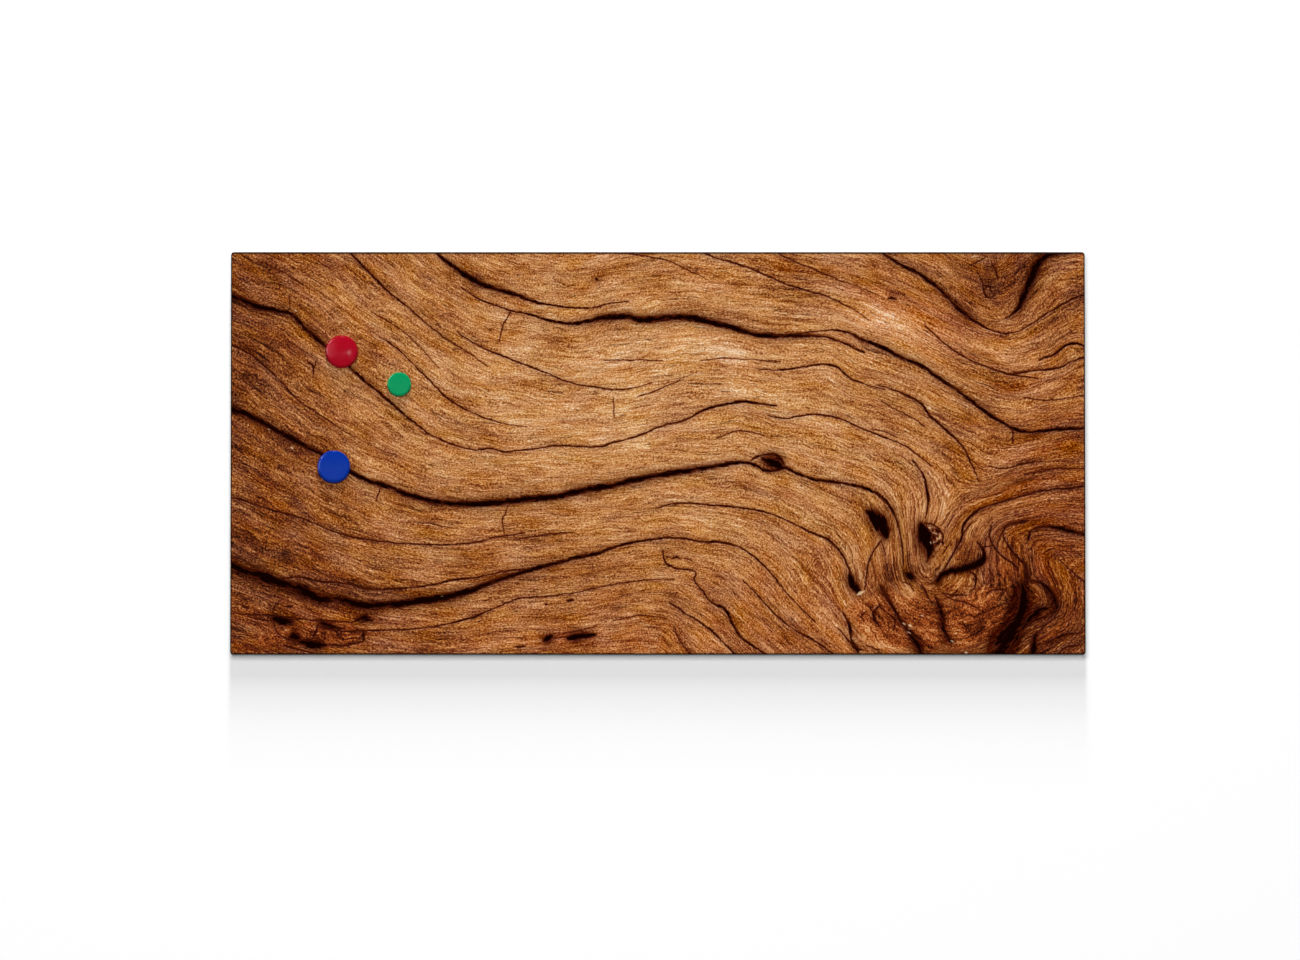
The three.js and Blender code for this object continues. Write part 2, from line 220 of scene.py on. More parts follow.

# %% [markdown]
# ## The cracks of the wood
#
# Old wood splits along its grain, so the main cracks also show which way the fibres run. Each crack is
# a smooth line through a few points read off the photograph, in its pixels, with the widths that it
# has on its way, in pixels too. Cracks along the grain give the fibres their direction as well, so
# they are listed from left to right, and turn with the fibres at the burl.

# %% Cracks along the grain: (widths, points)
GRAIN_CRACKS = [
    # the long crack of the upper edge, in three lengths
    ((2, 4, 5, 4, 3, 2, 1.5, 1.2, 1),
     [(430, 247), (441, 257), (457, 269), (475, 281), (493, 288), (515, 294.5), (535, 302),
      (553, 305), (572, 307.5), (595, 307.6), (607, 303.6), (629, 301)]),
    ((1.2, 1.5, 2, 3, 5, 6, 6, 5, 4, 4, 2, 1.2),
     [(461, 287), (477, 298), (495, 305), (512, 310.6), (530, 314.5), (550, 320.5), (571, 323.6),
      (589, 321), (603, 317.4), (627, 316.4), (643, 319.6), (679, 317), (702, 320), (725, 325.4),
      (745, 331.5), (761, 335.6), (790, 336.2), (817, 336), (832, 338.8), (848, 344.6),
      (865, 353)]),
    ((1, 1.2, 3.5, 4, 3.5, 3.5, 3, 3.5, 3, 3),
     [(795, 334), (815, 331.6), (833, 329.6), (848, 332.6), (862, 339.6), (880, 346.4), (901, 357),
      (922, 366), (938, 377.6), (957, 390), (975, 404), (994, 418), (1009, 426.4), (1022, 431.2),
      (1045, 430.8), (1065, 429), (1090, 428.4)]),
    # the crack under it on the left
    ((2, 2, 1.5, 1.2, 0.6),
     [(345, 246), (357, 260), (373, 276.5), (391, 294), (410, 309), (430, 326.5), (449, 340.6),
      (469, 353), (487, 366)]),
    # the crack that runs behind the red magnet and on to the middle
    ((5, 5, 4, 3, 3, 3, 2.5, 2, 2, 1.5, 1.2, 1.5, 1.5, 1.5, 1.6, 2, 2.4, 2.4, 1.5),
     [(224, 293), (240, 299), (259, 307.4), (275, 310), (290, 314), (305, 328), (325, 346),
      (340, 358), (361, 378), (378, 391.6), (393, 405), (411, 420), (430, 434), (449, 443),
      (473, 449.6), (490, 448.4), (505, 451.6), (530, 449.4), (559, 445.6), (595, 447), (612, 443),
      (636, 436.4), (663, 426), (685, 420), (703, 410.6), (722, 404.8), (738, 402), (752, 402.4),
      (777, 406)]),
    # the long crack of the middle, behind the blue magnet and down into the burl
    ((5, 5, 4.5, 4, 4, 4.5, 5, 5.5, 5.5, 5.5, 5.5, 5, 5, 4, 3, 3, 3, 3, 2.5, 1.5),
     [(224, 406), (243, 413), (259, 420.6), (279, 432), (303, 445), (323, 455), (349, 471),
      (365, 479.6), (387, 486.6), (410, 495.6), (433, 501), (460, 503.8), (485, 503.6),
      (510, 501.4), (535, 498.2), (559, 496), (583, 490), (612, 485.4), (641, 478.4),
      (671, 473.6), (701, 468.6), (729, 464), (745, 462.4), (756, 465.6), (764, 469.6), (771, 471),
      (778, 470), (785, 467.6), (795, 472.4), (806, 477), (817, 479.8), (845, 483.6), (865, 488),
      (880, 496), (891, 508), (898, 524), (902, 543), (903.6, 565)]),
    # the long crack of the lower edge, and the strand above it
    ((6, 8, 8, 10, 7, 7, 6.5, 6, 7.5, 4.5, 4.5, 4, 3.5, 3, 2.5, 2, 2, 2, 2, 1.8, 1.5, 1.2, 1),
     [(224, 561), (234, 566), (244, 570.6), (258, 574.6), (268, 578.6), (276, 581.6),
      (292, 586.4), (304, 590.4), (313, 595), (322, 598.2), (334, 599.4), (345, 600.6),
      (354, 603.4), (365, 606.2), (385, 605), (415, 601.6), (441, 598), (469, 591), (493, 582),
      (515, 574.5),
      (540, 567.6), (568, 560), (595, 553.6), (625, 544), (651, 539.6), (675, 537.6),
      (700, 541.4), (722, 542.4), (741, 548), (759, 561), (775, 578), (791, 598), (815, 622)]),
    ((1.6, 1.8, 1.6),
     [(281, 578), (303, 577.4), (321, 581.6), (345, 583), (366, 589), (395, 588.6), (427, 586),
      (449, 581), (480, 576.4), (509, 570.4), (530, 569)]),
    # finer cracks on the left
    ((1.6, 1.6, 1.4, 1.2, 1),
     [(224, 496), (243, 500.4), (262, 507), (283, 513), (306, 519.6), (330, 530.6), (352, 537),
      (375, 540.4), (399, 543), (440, 544.8), (471, 543), (497, 537), (525, 533)]),
    ((1, 1.2, 0.8), [(515, 539), (545, 534.8), (575, 532)]),
    ((1.8, 1.6, 1.4, 1, 0.6),
     [(224, 342), (243, 350), (260, 362), (279, 380), (297, 399), (319, 414), (338, 427),
      (355, 438)]),
    ((1.2, 1.4, 1.4, 1.2, 0.6),
     [(379, 337), (394, 346), (409, 360), (433, 384), (450, 400), (472, 412.6), (500, 422.6),
      (527, 427)]),
    ((0.8, 0.8, 0.6), [(371, 312), (391, 323), (413, 340), (439, 368)]),
    ((0.7, 0.9, 0.7), [(259, 261), (283, 272), (303, 285.4)]),
    # finer cracks of the middle
    ((1.2, 1.6, 1.5, 1.4, 0.8),
     [(457, 332), (477, 345), (505, 357), (539, 370), (570, 382.6), (595, 387), (619, 389.6),
      (641, 386.4), (653, 382.4)]),
    ((0.7, 1, 0.7), [(637, 397), (660, 389), (681, 380)]),
    ((0.7, 1, 0.7), [(603, 360), (640, 360), (663, 360.6)]),
    ((0.7, 1, 0.8), [(701, 360.6), (723, 358), (745, 359), (781, 361.6)]),
    ((1.2, 1.5, 1.5, 1.2),
     [(759, 369.6), (780, 370), (801, 367.4), (822, 364.4), (838, 367.4), (850, 378), (868, 385),
      (885, 390)]),
    ((1.2, 1.4, 2.4, 2.4, 2, 1.4, 1),
     [(877, 385), (901, 393), (921, 403.4), (932, 418), (950, 433.6), (964, 449), (972, 465),
      (979, 482)]),
    ((0.8, 1, 0.8), [(716, 438.6), (727, 434), (741, 430.4), (764, 435.6)]),
    ((1.4, 1.5, 1.5, 1.2),
     [(768, 415.6), (783, 418.4), (800, 416), (815, 414.4), (840, 418.6), (860, 427.6),
      (884, 437), (903, 445), (918, 455), (931, 466)]),
    ((1.5, 2, 2, 1.2), [(913, 461), (922, 473), (927, 488), (927.6, 503), (925, 518)]),
    ((0.8, 1, 0.8), [(881, 401), (903, 413), (925, 426)]),
    ((0.8, 1, 0.8), [(871, 429), (885, 432), (897, 437)]),
    # finer cracks of the upper edge
    ((1.5, 1.6, 1.4, 0.8),
     [(694, 248), (711, 256), (735, 263), (757, 271), (787, 284), (810, 291.4), (831, 298),
      (853, 309), (869, 320)]),
    ((1.3, 1.2, 0.7), [(770, 248), (792, 260), (815, 269.6), (841, 280.6), (862, 287)]),
    ((1, 1, 0.6), [(615, 251.4), (643, 255.6), (668, 260.6), (690, 271), (705, 277)]),
    # round the knot of the upper right corner
    ((3, 3, 3.5, 4, 4, 1.6, 1.2, 1.4, 1.8, 1.6),
     [(876, 248), (897, 262.4), (920, 274), (943, 292), (960, 309.4), (976, 321.6), (991, 330),
      (1006, 333.4), (1023, 329), (1045, 315), (1063, 304), (1078, 296.6), (1090, 295)]),
    ((1, 3, 5.4, 6.2, 7.2, 7.4, 6.6, 4.6, 4),
     [(1004, 319), (1011, 315), (1019, 307), (1025, 294), (1032, 277), (1037, 266),
      (1043, 259), (1052, 254.4), (1070, 252)]),
    # finer cracks of the right edge
    ((1, 1.2, 1.6, 1.8, 1),
     [(925, 325), (943, 342), (965, 357), (985, 366), (1009, 374), (1038, 378.4)]),
    ((1.6, 2, 2, 1.6), [(1013, 374), (1035, 370.4), (1059, 368), (1072, 361), (1090, 355.6)]),
    ((1.6, 2, 2, 1.6), [(1039, 359.6), (1055, 353.6), (1066, 345), (1078, 343.6), (1090, 348)]),
    ((0.8, 1.1, 0.9), [(1023, 397.6), (1050, 400), (1090, 394.6)]),
    ((1, 1.4, 1), [(989, 466.6), (1005, 468.4), (1023, 463.6), (1043, 461.4)]),
    ((0.8, 1.1, 1), [(1023, 474.4), (1050, 469.6), (1090, 468)]),
    # under the long middle crack, down to the burl
    ((1.2, 1.5, 1.6, 1.6, 2, 2),
     [(656, 508), (672, 503.4), (690, 503), (712, 505), (735, 507), (760, 511), (783, 518.6),
      (808, 531), (827, 539), (839, 551), (847, 564), (852, 580)]),
    ((1.2, 1.5, 1.5, 1.2),
     [(743, 580), (762, 600), (778, 617), (797, 631.4), (815, 641), (833, 654), (840, 660)]),
    # the lower edge
    ((1.2, 1.4, 1.4, 1.3, 1.2, 0.8),
     [(318, 626.6), (345, 630.8), (375, 630), (410, 629), (439, 625.6), (470, 618), (497, 606.8),
      (520, 598.4), (550, 596), (580, 591.6), (611, 585), (645, 580), (675, 579.6)]),
    ((1.4, 1.8, 1.8, 1.5), [(669, 602), (686, 613.6), (704, 625), (720, 639), (738, 657)]),
    ((0.8, 1, 1), [(674, 626), (680, 641), (693, 657)]),
    ((0.7, 0.9, 0.7), [(613, 621), (640, 615.2), (667, 618.6)]),
    ((0.8, 1, 0.8), [(558, 634.6), (577, 630.6), (597, 626)]),
    # out of the burl to the right edge
    ((1.5, 2, 2, 2, 1.8),
     [(945, 568), (953, 554), (961, 539), (964, 524), (976, 511.4), (995, 504), (1019, 496.6),
      (1045, 490), (1071, 488), (1090, 486)]),
    ((2, 3, 3.6, 4, 3), [(1028, 540), (1031, 530.6), (1044, 527), (1062, 529), (1090, 536)]),
    ((1.5, 2, 2, 1.5),
     [(1030, 580), (1025, 566), (1011, 550), (1003, 536), (1007, 526), (1028, 520.6)]),
    ((1.5, 2, 1.5), [(1018, 568), (998, 552), (990, 538), (991, 526)]),
    ((2, 1.5, 1.5, 1.6, 1.8, 1.5),
     [(1024, 628), (1034, 620), (1048, 615.6), (1056.6, 606), (1053, 595), (1044, 584),
      (1031, 581.6)]),
]

# %% [markdown]
# Some marks don't follow the fibres: short splits across them, a crooked worm line, and the holes
# and rotten slits round the burl. They are drawn the same way, but don't steer the grain.

# %% Cracks across the grain, holes and slits
LOOSE_CRACKS = [
    ((0.7, 1, 0.8), [(508, 506), (505, 514), (502, 520), (505, 534)]),
    ((1, 1.2, 0.8), [(381, 486), (376, 501)]),
    ((1, 1.2, 0.8), [(511, 311), (504, 323), (500.6, 334), (499, 342)]),
    ((0.7, 1, 0.7), [(613, 398), (614.4, 418)]),
    ((0.7, 0.9, 0.7), [(290, 308), (289, 294)]),
    ((1, 1.4, 1), [(1011, 427), (1013, 435), (1012, 443)]),
    ((2.6, 2.6), [(596, 278.6), (596.8, 279.4)]),
    ((1.2, 2.8, 1.6), [(888, 298.2), (892, 298), (896.6, 299.6)]),
    ((0.7, 1.7, 1.5, 0.7), [(307, 362), (312, 365), (313.4, 370), (312.6, 376)]),
    ((1, 1.3, 0.8), [(316, 361), (315, 365), (314, 368)]),
    # the small knot on the middle crack
    ((1.5, 2, 2.5, 2),
     [(751, 460.4), (757, 457), (765, 454.2), (773, 454.2), (779, 457), (784, 464)]),
    ((4, 10, 11, 6), [(763, 458.6), (769, 460.6), (775, 462.6), (780, 466)]),
    # the worm line
    ((1.2, 1.5, 1.5, 1.5, 2.4, 2.6, 2.4, 2, 1.5),
     [(663, 550), (665, 561.6), (675, 568.4), (690, 570), (696, 573.6), (694, 580), (703, 592),
      (712, 602.4), (725, 609), (732, 623), (741, 637), (756, 648), (770, 657)]),
    ((1.6, 1.8), [(666.4, 557), (668.4, 556.4)]),
    ((1.2, 2, 1.2), [(672, 559), (677, 556.4), (680.4, 558.2)]),
    ((1, 1.4, 1), [(684, 558.4), (688, 559), (692, 560.2)]),
    # blobs and slits of the lower edge
    ((5, 7.5, 6, 2), [(274, 619), (281, 620.6), (288, 621.4), (295, 621.6)]),
    ((1, 2, 1), [(285, 606), (289, 606.6), (293, 607)]),
    ((6, 8, 6), [(292, 637), (295, 636), (298, 637)]),
    ((3, 6, 7.5, 6, 2), [(300, 641), (308, 643), (316, 644.6), (323, 645), (327, 645)]),
    ((2.4, 6.5, 3), [(356, 620.4), (364, 618.6), (371, 620)]),
    ((1, 1.4, 1.2), [(296, 619), (312, 619.4), (330, 620.6), (353, 622)]),
    ((2, 3, 2), [(362, 589), (368, 589)]),
    ((3, 7, 7, 3), [(544, 641), (547, 639.6), (550, 637.6), (552, 636)]),
    ((1.2, 1.6, 1.2), [(551, 638), (560, 637.6), (568, 636)]),
    ((4, 8.5, 7, 5, 3),
     [(568, 638), (575, 637.4), (582, 635.8), (589, 634.8), (595, 634.8)]),
    ((1.4, 2.4, 1.4), [(515, 646.6), (520, 647), (525, 646)]),
    ((1.6, 2.6, 1.6), [(567, 601), (570, 600.6), (574, 600)]),
    ((1.6, 1.6), [(545.6, 604), (547.4, 604.2)]),
    ((1.4, 1.4), [(515, 611), (517, 611.4)]),
    # the two holes above the burl
    ((4, 11, 13, 10, 5), [(867, 511), (875, 517), (881, 525), (886, 537)]),
    ((5, 12, 14, 9, 5, 2.4),
     [(920.4, 524.4), (922.4, 530.4), (923.8, 537), (927.4, 545), (929.6, 553), (927.4, 561)]),
    ((1, 1.6, 1.8, 1.2, 1), [(924, 523), (932, 524.4), (939, 529), (943.4, 537), (941, 544)]),
    ((2.4, 2.4), [(932.4, 529.6), (933, 530.4)]),
    ((2, 3.4, 2), [(935.6, 529.4), (937.4, 531.2), (939.4, 532)]),
    ((2.4, 3, 2), [(931.4, 535.4), (933.2, 537.8), (935, 539.2)]),
    ((2.4, 2.4), [(932, 542), (932.6, 543)]),
    ((2, 2.6, 2), [(936.4, 542.8), (938.4, 543.2), (940, 541.2)]),
    ((2.2, 2.4), [(943, 541.6), (943.4, 543.8)]),
    ((2.4, 3.2, 1.8), [(931, 546), (932.4, 549), (931.4, 552)]),
    # the knot of the upper right corner
    ((0.8, 1.6, 1), [(970, 265), (977, 262), (981, 260), (985.4, 257.4)]),
    ((0.8, 1.4, 1), [(992, 263), (996, 270), (998, 279)]),
    ((0.8, 1.2, 1.6, 1.6, 1.2),
     [(977, 270), (980, 276), (982.6, 283), (984, 292), (987, 297), (992, 297.6), (996, 293)]),
    ((0.8, 1.4, 1), [(984.4, 288.6), (986.4, 286.4), (989.4, 287), (991.6, 291)]),
    # the rotten slits of the burl
    ((1.2, 1.6, 1.2), [(881, 540), (872, 554), (867, 568), (865, 588)]),
    ((0.8, 1, 0.8), [(881, 541), (885, 553)]),
    ((3, 8, 7, 3), [(849, 574), (852, 583), (857, 590), (860, 594)]),
    ((2, 4, 7, 7, 6.4, 6.4, 6, 5),
     [(983, 550), (984, 556), (982, 561), (972, 566), (960, 569.4), (949, 571), (942, 575),
      (938, 581)]),
    ((1, 1.2, 1.2, 0.8), [(981, 547.4), (987, 546.6), (992, 546)]),
    ((1, 1.8, 2, 1.2), [(957, 539), (955, 548), (952, 556), (946, 565)]),
    ((0.8, 1.8, 2.6), [(976, 541), (980, 545), (983, 551)]),
    ((1, 1.2, 0.8), [(961, 537), (966, 529), (972, 522)]),
    ((1.4, 1.8, 1.8, 1), [(971, 571.6), (975.4, 577), (975, 585), (971.4, 591)]),
    ((0.8, 1.6, 0.8), [(941, 592), (952, 594.6), (968, 595)]),
    ((5, 7, 5), [(907, 574), (912, 578)]),
    ((1, 1.4, 1), [(903, 582), (909, 584), (914, 591)]),
    ((3, 8, 11, 8, 10, 15, 15, 15, 18),
     [(1022, 583), (1023, 591), (1024.6, 599), (1022, 610), (1018, 620), (1012, 629),
      (1005.6, 639), (1000, 649), (997, 662)]),
    ((2, 5, 4, 3, 4, 3),
     [(1048, 608), (1040, 609), (1032, 616), (1026, 624), (1018, 634), (1010, 650)]),
    ((2, 3, 4, 4, 2), [(1028, 580), (1040, 583), (1049, 590), (1055, 601), (1057, 612)]),
    ((3, 5, 5), [(1036, 634), (1034, 643), (1032, 657)]),
    ((1, 1.6, 1.2), [(1060, 615), (1048, 622), (1036, 634)]),
    ((1, 1.6, 1.2), [(1082, 632), (1064, 635), (1046, 642)]),
    ((1, 1.4, 1.4), [(1082, 644), (1064, 648), (1054, 656)]),
    ((1, 1.5, 1), [(1058, 559), (1068, 568), (1078, 577), (1090, 587)]),
    ((2, 3, 4, 3), [(1023, 558), (1026, 568), (1027, 580), (1024, 586)]),
    ((2, 3, 3, 2.6, 2.4, 3, 2.2),
     [(880, 586), (885, 595), (892, 605), (897, 615), (903, 625), (912, 633), (921, 639)]),
    ((1, 3, 3.6, 3, 4), [(935, 596), (939, 607), (942, 619), (943, 630), (951, 641)]),
    ((1.6, 2.4, 2.4, 2), [(843, 612), (849, 625), (852, 640), (858, 652)]),
    ((1.2, 2, 1.2), [(838, 628), (848, 640), (858, 648)]),
    ((1, 2.4, 1.4), [(880, 604), (873, 614), (879, 626)]),
    ((1, 1.6, 1), [(888, 613), (895, 620), (893, 630)]),
    ((0.8, 1.4, 0.8), [(866, 611), (861, 615), (864, 622)]),
    ((2, 4, 5, 3), [(905, 629), (912, 638), (918, 646), (921, 656)]),
    ((1, 1.6, 1), [(921, 584), (927, 594), (932, 604)]),
    ((1, 1.5, 1), [(985, 596), (993, 590), (1004, 590), (1008, 595)]),
    ((0.8, 1.2, 0.8), [(942, 593), (952, 599), (966, 603), (984, 612)]),
    ((0.8, 1.2, 0.8), [(988, 568), (992, 574), (995, 577)]),
    ((1.4, 1.4), [(917, 602), (918.4, 603)]),
    ((1.6, 2.4, 1), [(852, 645), (857, 649), (864, 650)]),
    ((0.8, 1.2, 0.8), [(866, 645), (873, 648), (882, 650)]),
    # the rotten patch of the lower left corner
    ((0.8, 1.4, 1.4, 0.8), [(228, 613), (255, 614.6), (285, 616.4), (320, 621), (347, 622)]),
    ((1, 1.4, 1), [(248, 616), (258, 619), (273, 620.4)]),
    ((1, 1.4, 1), [(279, 601), (274.4, 607), (273, 613)]),
    ((1, 1.6, 1.4), [(274, 622), (277, 632), (286, 638.6), (300, 641.4)]),
    ((1.4, 2, 1.4), [(319, 624), (316, 632), (311, 641)]),
    ((4, 5, 3, 1.4), [(321, 623), (331, 626.6), (345, 629)]),
    ((2, 3, 2), [(364, 630), (363.4, 641)]),
    ((1, 1.8, 1.6, 1), [(325, 644.6), (343, 645.4), (363, 642)]),
    ((1, 2, 2, 1), [(279, 645), (294, 648), (312, 653)]),
    ((1, 2.4, 1), [(242, 606.6), (250, 608)]),
    ((1, 2, 1), [(411, 585.4), (419, 586)]),
]
print(len(GRAIN_CRACKS), "cracks steer the grain,", len(LOOSE_CRACKS), "don't")

# %% [markdown]
# Splinters and crumbs that catch the light are paler than the wood. They are short strokes, and
# they are drawn in the same way as the cracks.

# %% Pale splinters and crumbs: (widths, points)
PALE_MARKS = [
    ((1, 3, 2.4, 1), [(856.4, 594.6), (859.4, 593), (862, 592), (864.6, 590.6)]),
    ((0.8, 1.2, 0.8), [(902.6, 622.6), (904, 623.4), (905.4, 624.6)]),
    ((1.4, 2, 1.2), [(908.6, 624.8), (910.2, 625.6), (911.6, 626)]),
    ((1.8, 1.8), [(921, 615), (923, 615.6)]),
    ((1, 1), [(927.6, 617.4), (929, 618)]),
    ((1.2, 1.2), [(951, 640), (953, 641)]),
    ((1.4, 1.4), [(965, 652), (967, 653)]),
    ((1, 1.2), [(907, 632), (910, 633)]),
    ((1, 1.1), [(929, 527), (930, 529)]),
    ((0.8, 0.7), [(932.4, 527.6), (933, 528)]),
    ((0.7, 0.8, 0.6), [(932, 532.4), (934.6, 533.8), (937.4, 534.4)]),
    ((0.7, 0.9, 0.6), [(940.4, 534.6), (940.2, 536.6), (940.8, 538.8)]),
    ((0.8, 0.7), [(936.6, 537.4), (937.6, 540)]),
    ((0.7, 0.8), [(930.2, 541.4), (930.6, 543.8)]),
    ((0.8, 0.7), [(934.2, 541), (934.6, 542.4)]),
    ((0.7, 0.8), [(940.6, 543.6), (941.4, 544.2)]),
    ((0.6, 1.6, 0.6), [(971, 257.6), (975, 255.6), (979, 256)]),
    ((1, 1.2), [(294.4, 310), (296, 311.4)]),
    ((0.8, 1), [(250, 316), (251.4, 317.6)]),
    ((1.2, 1.4), [(291, 447), (292.6, 448.6)]),
    ((0.8, 0.9), [(268, 429), (269.6, 429.6)]),
    ((1, 1), [(313.6, 625.6), (315, 626)]),
    ((0, 0.3, 0), [(441, 596.4), (443.4, 596.4)]),
]
print(len(PALE_MARKS), "pale marks")

# %% [markdown]
# ## From points to smooth lines
#
# A line that bends smoothly through all of its points is a Catmull-Rom curve. It is cut into
# short steps, and the widths are spread evenly along its length.

# %% Smooth crack lines in millimetres of the face
LINE_STEP_MM = 2.5


def smooth_line(pixels):
    """A smooth line through the points, in millimetres, with a point at every step."""
    p = np.array([face_point(*pixel) for pixel in pixels])
    p = np.vstack([2 * p[0] - p[1], p, 2 * p[-1] - p[-2]])
    parts = []
    for a, b, c, d in zip(p, p[1:], p[2:], p[3:]):
        steps = max(1, round(float(np.hypot(*(c - b))) / LINE_STEP_MM))
        t = np.linspace(0, 1, steps, endpoint=False)[:, None]
        curve = 2 * b + (c - a) * t + (2 * a - 5 * b + 4 * c - d) * t**2
        parts.append((curve + (3 * b - a - 3 * c + d) * t**3) / 2)
    return np.vstack([*parts, p[-2:-1]])


def half_widths(line, widths):
    """Half the crack's width at each point of its line, in millimetres."""
    along = np.concatenate([[0], np.cumsum(np.hypot(*np.diff(line, axis=0).T))])
    stops = np.linspace(0, along[-1], len(widths))
    return np.interp(along, stops, widths) / PIXELS_PER_MM / 2


grain_lines = [(smooth_line(pixels), widths) for widths, pixels in GRAIN_CRACKS]
loose_lines = [(smooth_line(pixels), widths) for widths, pixels in LOOSE_CRACKS]
pale_lines = [(smooth_line(pixels), widths) for widths, pixels in PALE_MARKS]
crack_lines = [(line, half_widths(line, widths)) for line, widths in grain_lines + loose_lines]
print("crack length in all:", round(sum(len(line) for line, _ in crack_lines) * LINE_STEP_MM), "mm")

# %% [markdown]
# ## How far each point is from a crack
#
# A crack is only a pixel or two wide, finer than the film's grid. The way round that is to store
# at each point the distance to the crack's middle line, with a sign for its side. The distance
# passes evenly through zero from one point to the next, so the material can draw a line much
# finer than the grid. Two cracks that lie close together would spoil each other's signs, so they
# are sorted into layers in which all keep clear of each other.

# %% Sort the cracks into layers
CLEARANCE_MM = 3.5


def keeps_clear(line, halves, other_line, other_halves):
    """Whether two cracks are far enough apart for one layer."""
    wanted = CLEARANCE_MM + 2 * (halves.max() + other_halves.max())
    apart = line[:, None, :] - other_line[None, :, :]
    return np.hypot(apart[..., 0], apart[..., 1]).min() > wanted


layers = []
for crack in crack_lines:
    for layer in layers:
        if all(keeps_clear(*crack, *other) for other in layer):
            layer.append(crack)
            break
    else:
        layers.append([crack])
print("cracks in each layer:", [len(layer) for layer in layers])

# %% [markdown]
# The distances are worked out on a grid of the flat print, one cell of which is as large as a cell
# of the film. Only the cells near a piece of crack are touched. Beyond a crack's ends its width
# runs out, and far from it the width is made negative, so that nothing is drawn there. Wide cracks
# also darken the wood beside them, which is the soft shade. The pale marks are drawn afterwards,
# so the shade is copied before that and knows nothing of them.

# %% Distance fields of the cracks, and the soft shade beside them
MARGIN_CELLS = 3
REACH_MM = 10
GUARD_MM = 1.2
FULL_SHADE_MM = 2.2
FAR_MM = 1e9
SHADED = 0.3
cell_x = 2 * flat_x / FILM_COLUMNS
cell_z = 2 * flat_z / FILM_ROWS
field_x = cell_x * (np.arange(FILM_COLUMNS + 2 * MARGIN_CELLS + 1) - MARGIN_CELLS) - flat_x
field_z = cell_z * (np.arange(FILM_ROWS + 2 * MARGIN_CELLS + 1) - MARGIN_CELLS) - flat_z
grid_x, grid_z = np.meshgrid(field_x, field_z)
shade = np.zeros(grid_x.shape)


def near_block(start, end):
    """The part of the grid within reach of a short piece of line."""
    low = np.minimum(start, end) - REACH_MM
    high = np.maximum(start, end) + REACH_MM
    columns = np.searchsorted(field_x, (low[0], high[0]))
    rows = np.searchsorted(field_z, (low[1], high[1]))
    return np.s_[rows[0] : rows[1], columns[0] : columns[1]]


def draw_crack(fields, line, halves):
    """Writes one crack into the fields of its layer, where it is the nearest one."""
    nearest, side, half_width = fields
    last = len(line) - 2
    for i in range(len(line) - 1):
        block = near_block(line[i], line[i + 1])
        if grid_x[block].size == 0:
            continue
        length = float(np.hypot(*(line[i + 1] - line[i])))
        step_x, step_z = (line[i + 1] - line[i]) / length
        from_x = grid_x[block] - line[i][0]
        from_z = grid_z[block] - line[i][1]
        along = from_x * step_x + from_z * step_z
        across = step_x * from_z - step_z * from_x
        on_line = np.clip(along, 0, length)
        past = along - on_line
        distance = np.hypot(across, past)
        beyond_end = ((i == 0) & (past < 0)) | ((i == last) & (past > 0))
        half = halves[i] + (halves[i + 1] - halves[i]) * on_line / length
        shade[block] = np.maximum(
            shade[block],
            np.minimum(1, half / FULL_SHADE_MM) * np.exp(-np.maximum(0, distance - half) / (1 + half)),
        )
        signed = np.where(beyond_end, across, np.copysign(distance, across))
        drawn = np.where(beyond_end, half - abs(past), half)
        drawn = drawn - np.maximum(0, abs(signed) - half - GUARD_MM)
        closer = distance < nearest[block]
        nearest[block] = np.where(closer, distance, nearest[block])
        side[block] = np.where(closer, signed, side[block])
        half_width[block] = np.where(closer, drawn, half_width[block])


def draw_layer(lines):
    """The distance and half width fields of one layer."""
    fields = [np.full(grid_x.shape, value, float) for value in (FAR_MM, REACH_MM, -REACH_MM)]
    for line, halves in lines:
        draw_crack(fields, line, halves)
    return fields[1:]


layer_fields = [draw_layer(layer) for layer in layers]
crack_shade = shade.copy()
pale_fields = draw_layer([(line, half_widths(line, widths)) for line, widths in pale_lines])
print("share of the print beside a crack:", round(float((crack_shade > SHADED).mean()), 3))

# %% [markdown]
# ## Which way the fibres run
#
# At every point of the print the cracks are asked for their direction, and the near ones count
# most. Two numbers then follow the fibres: one grows along them and one across them. No pair of
# numbers fits a turning direction exactly, so the pair with the smallest error is taken. That is a
# Poisson equation, and on a grid mirrored at its borders it is solved by a Fourier transform.

# %% Grain direction, and the two numbers that follow it
SOFTEN_MM = 3
FADING_POWER = 1.5
GUIDE_EVERY = 2
FAINT_PULL = 1e-6
pull_x = np.full(grid_x.shape, FAINT_PULL)
pull_z = np.zeros(grid_x.shape)
for line, _ in grain_lines:
    middles = (line[1:] + line[:-1])[::GUIDE_EVERY] / 2
    steps = np.diff(line, axis=0)[::GUIDE_EVERY]
    for (x, z), step in zip(middles, steps):
        weight = ((grid_x - x) ** 2 + (grid_z - z) ** 2 + SOFTEN_MM**2) ** -FADING_POWER
        pull_x += weight * step[0]
        pull_z += weight * step[1]
strength = np.hypot(pull_x, pull_z)
fibre_x = pull_x / strength
fibre_z = pull_z / strength


